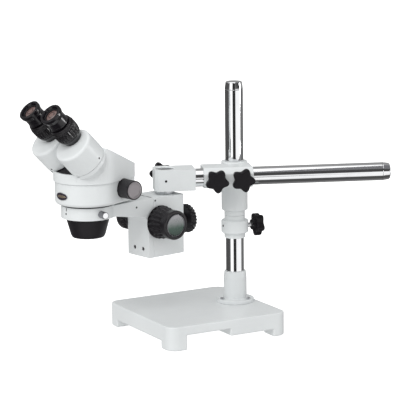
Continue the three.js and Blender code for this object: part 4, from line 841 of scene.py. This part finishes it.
# ---------------------------------------------------------------- stage
def build_world(front):
    """White room for soft light. Reflections see panels and dark gaps about the direction `front` (radians)."""
    world = bpy.data.worlds.new("studio")
    bpy.context.scene.world = world
    world.use_nodes = True
    tree = world.node_tree
    background = tree.nodes["Background"]

    def node(kind, **settings):
        n = tree.nodes.new(kind)
        for key, value in settings.items():
            setattr(n, key, value)
        return n

    def math_node(operation, a, b):
        n = node("ShaderNodeMath", operation=operation)
        for socket, value in zip(n.inputs, (a, b)):
            if isinstance(value, bpy.types.NodeSocket):
                tree.links.new(value, socket)
            else:
                socket.default_value = value
        return n.outputs[0]

    def ramp(angle, *stops):
        """Grey level by an angle in degrees, from -180 to 180."""
        n = node("ShaderNodeValToRGB")
        set_stops(n.color_ramp, [((at + 180) / 360, (value, value, value)) for at, value in stops])
        tree.links.new(math_node("ADD", math_node("DIVIDE", angle, 2 * math.pi), 0.5), n.inputs["Fac"])
        return n.outputs["Color"]

    def mix(factor, a, b):
        n = node("ShaderNodeMix", data_type="RGBA")
        tree.links.new(factor, n.inputs["Factor"])
        for socket, value in zip([i for i in n.inputs if i.type == "RGBA"], (a, b)):
            if isinstance(value, bpy.types.NodeSocket):
                tree.links.new(value, socket)
            else:
                socket.default_value = value
        return [o for o in n.outputs if o.type == "RGBA"][0]

    turn = node("ShaderNodeVectorRotate", rotation_type="Z_AXIS")
    turn.inputs["Angle"].default_value = front
    tree.links.new(node("ShaderNodeTexCoord").outputs["Generated"], turn.inputs["Vector"])
    parts = node("ShaderNodeSeparateXYZ")
    tree.links.new(turn.outputs["Vector"], parts.inputs[0])
    x, y, z = parts.outputs
    ahead = math_node("MULTIPLY", y, -1.0)
    azimuth = math_node("ARCTAN2", x, ahead)
    over = math_node("ARCTAN2", z, ahead)
    upright = ramp(azimuth, (-180, 0.2), (-150, 0.07), (-72, 0.07), (-60, 0.2), (-52, 1.1), (-22, 1.15), (-16, 0.025), (16, 0.02), (21, 0.9),
                   (84, 0.95), (92, 0.16), (150, 0.1), (180, 0.2))
    level = ramp(over, (-180, 0.3), (-110, 0.16), (-92, 0.07), (-55, 0.06), (-48, 0.85), (2, 0.95), (8, 0.05), (44, 0.06), (50, 1.1), (98, 1.1),
                 (108, 0.28), (180, 0.26))
    shade = math_node("MULTIPLY", math_node("GREATER_THAN", over, math.radians(46)), math_node("LESS_THAN", over, math.radians(104)))
    side_on = math_node("MULTIPLY", shade, math_node("GREATER_THAN", x, 0.235))
    level = mix(side_on, level, (0.16, 0.16, 0.17, 1))
    top = math_node("MULTIPLY", math_node("LESS_THAN", azimuth, math.radians(14)), 0.34)
    in_band = math_node("MULTIPLY", math_node("GREATER_THAN", z, -0.27), math_node("LESS_THAN", z, math_node("SUBTRACT", top, 0.1)))
    reflected = mix(in_band, level, upright)
    glossy = node("ShaderNodeLightPath").outputs["Is Glossy Ray"]
    soft = node("ShaderNodeMapRange")
    tree.links.new(x, soft.inputs["Value"])
    for key, value in (("From Min", -1.0), ("From Max", 1.0), ("To Min", 0.84), ("To Max", 0.7)):
        soft.inputs[key].default_value = value
    tree.links.new(mix(glossy, soft.outputs["Result"], reflected), background.inputs["Color"])
    background.inputs["Strength"].default_value = 1.12


def build_stage():
    bm = bmesh.new()
    verts = [bm.verts.new(v) for v in ((-14, -8, 0), (14, -8, 0), (14, 16, 0), (-14, 16, 0))]
    bm.faces.new(verts)
    floor = to_object(bm)
    floor.name = "floor"
    n = Nodes("floor_finish")
    floor.data.materials.append(n.set(Base_Color=(0.6, 0.6, 0.6, 1), Roughness=0.9, Specular_IOR_Level=0.1,
                                      Emission_Color=(1, 1, 1, 1), Emission_Strength=0.85))
    floor.visible_glossy = False
    floor.visible_diffuse = False
    floor.visible_shadow = False

    build_world(math.radians(29.08))

    def area(name, at, to, size, power):
        light = bpy.data.lights.new(name, "AREA")
        light.shape = "RECTANGLE"
        light.size, light.size_y = size
        light.energy = power
        o = bpy.data.objects.new(name, light)
        bpy.context.scene.collection.objects.link(o)
        o.matrix_world = axes(at, Vector(at) - Vector(to), (0.2, 0.1, 1))
        o.visible_glossy = False
        return o
    area("key", (-2.4, -1.5, 2.6), (0, 0, 0.2), (1.6, 1.6), 42)
    spark = area("spark", (-0.9, -2.2, 3.2), (-0.25, 0, 0.4), (0.5, 0.5), 9)
    spark.visible_glossy = True
    glint = area("glint", (1.55, -1.02, 0.42), (-0.2, -0.05, 0.42), (0.5, 0.36), 6)
    glint.visible_glossy = True
    glint.visible_diffuse = False


def build_camera():
    yaw, pitch, roll = math.radians(29.08), math.radians(10.94), math.radians(-0.57)
    forward = Vector((math.sin(yaw) * math.cos(pitch), math.cos(yaw) * math.cos(pitch), -math.sin(pitch)))
    side = Vector((math.cos(yaw), -math.sin(yaw), 0))
    top = side.cross(forward)
    x = side * math.cos(roll) + top * math.sin(roll)
    data = bpy.data.cameras.new("camera")
    data.sensor_width = 36
    data.lens = 178.06
    camera = bpy.data.objects.new("camera", data)
    bpy.context.scene.collection.objects.link(camera)
    camera.matrix_world = axes((-1.67652, -3.04493, 0.90376), -forward, x)
    bpy.context.scene.camera = camera


build_base()
build_clamp()
build_boom()
build_mount()
build_bracket()
build_head()
build_binocular()
finish_nodes()
build_stage()
build_camera()
bpy.context.scene.view_settings.view_transform = "Standard"
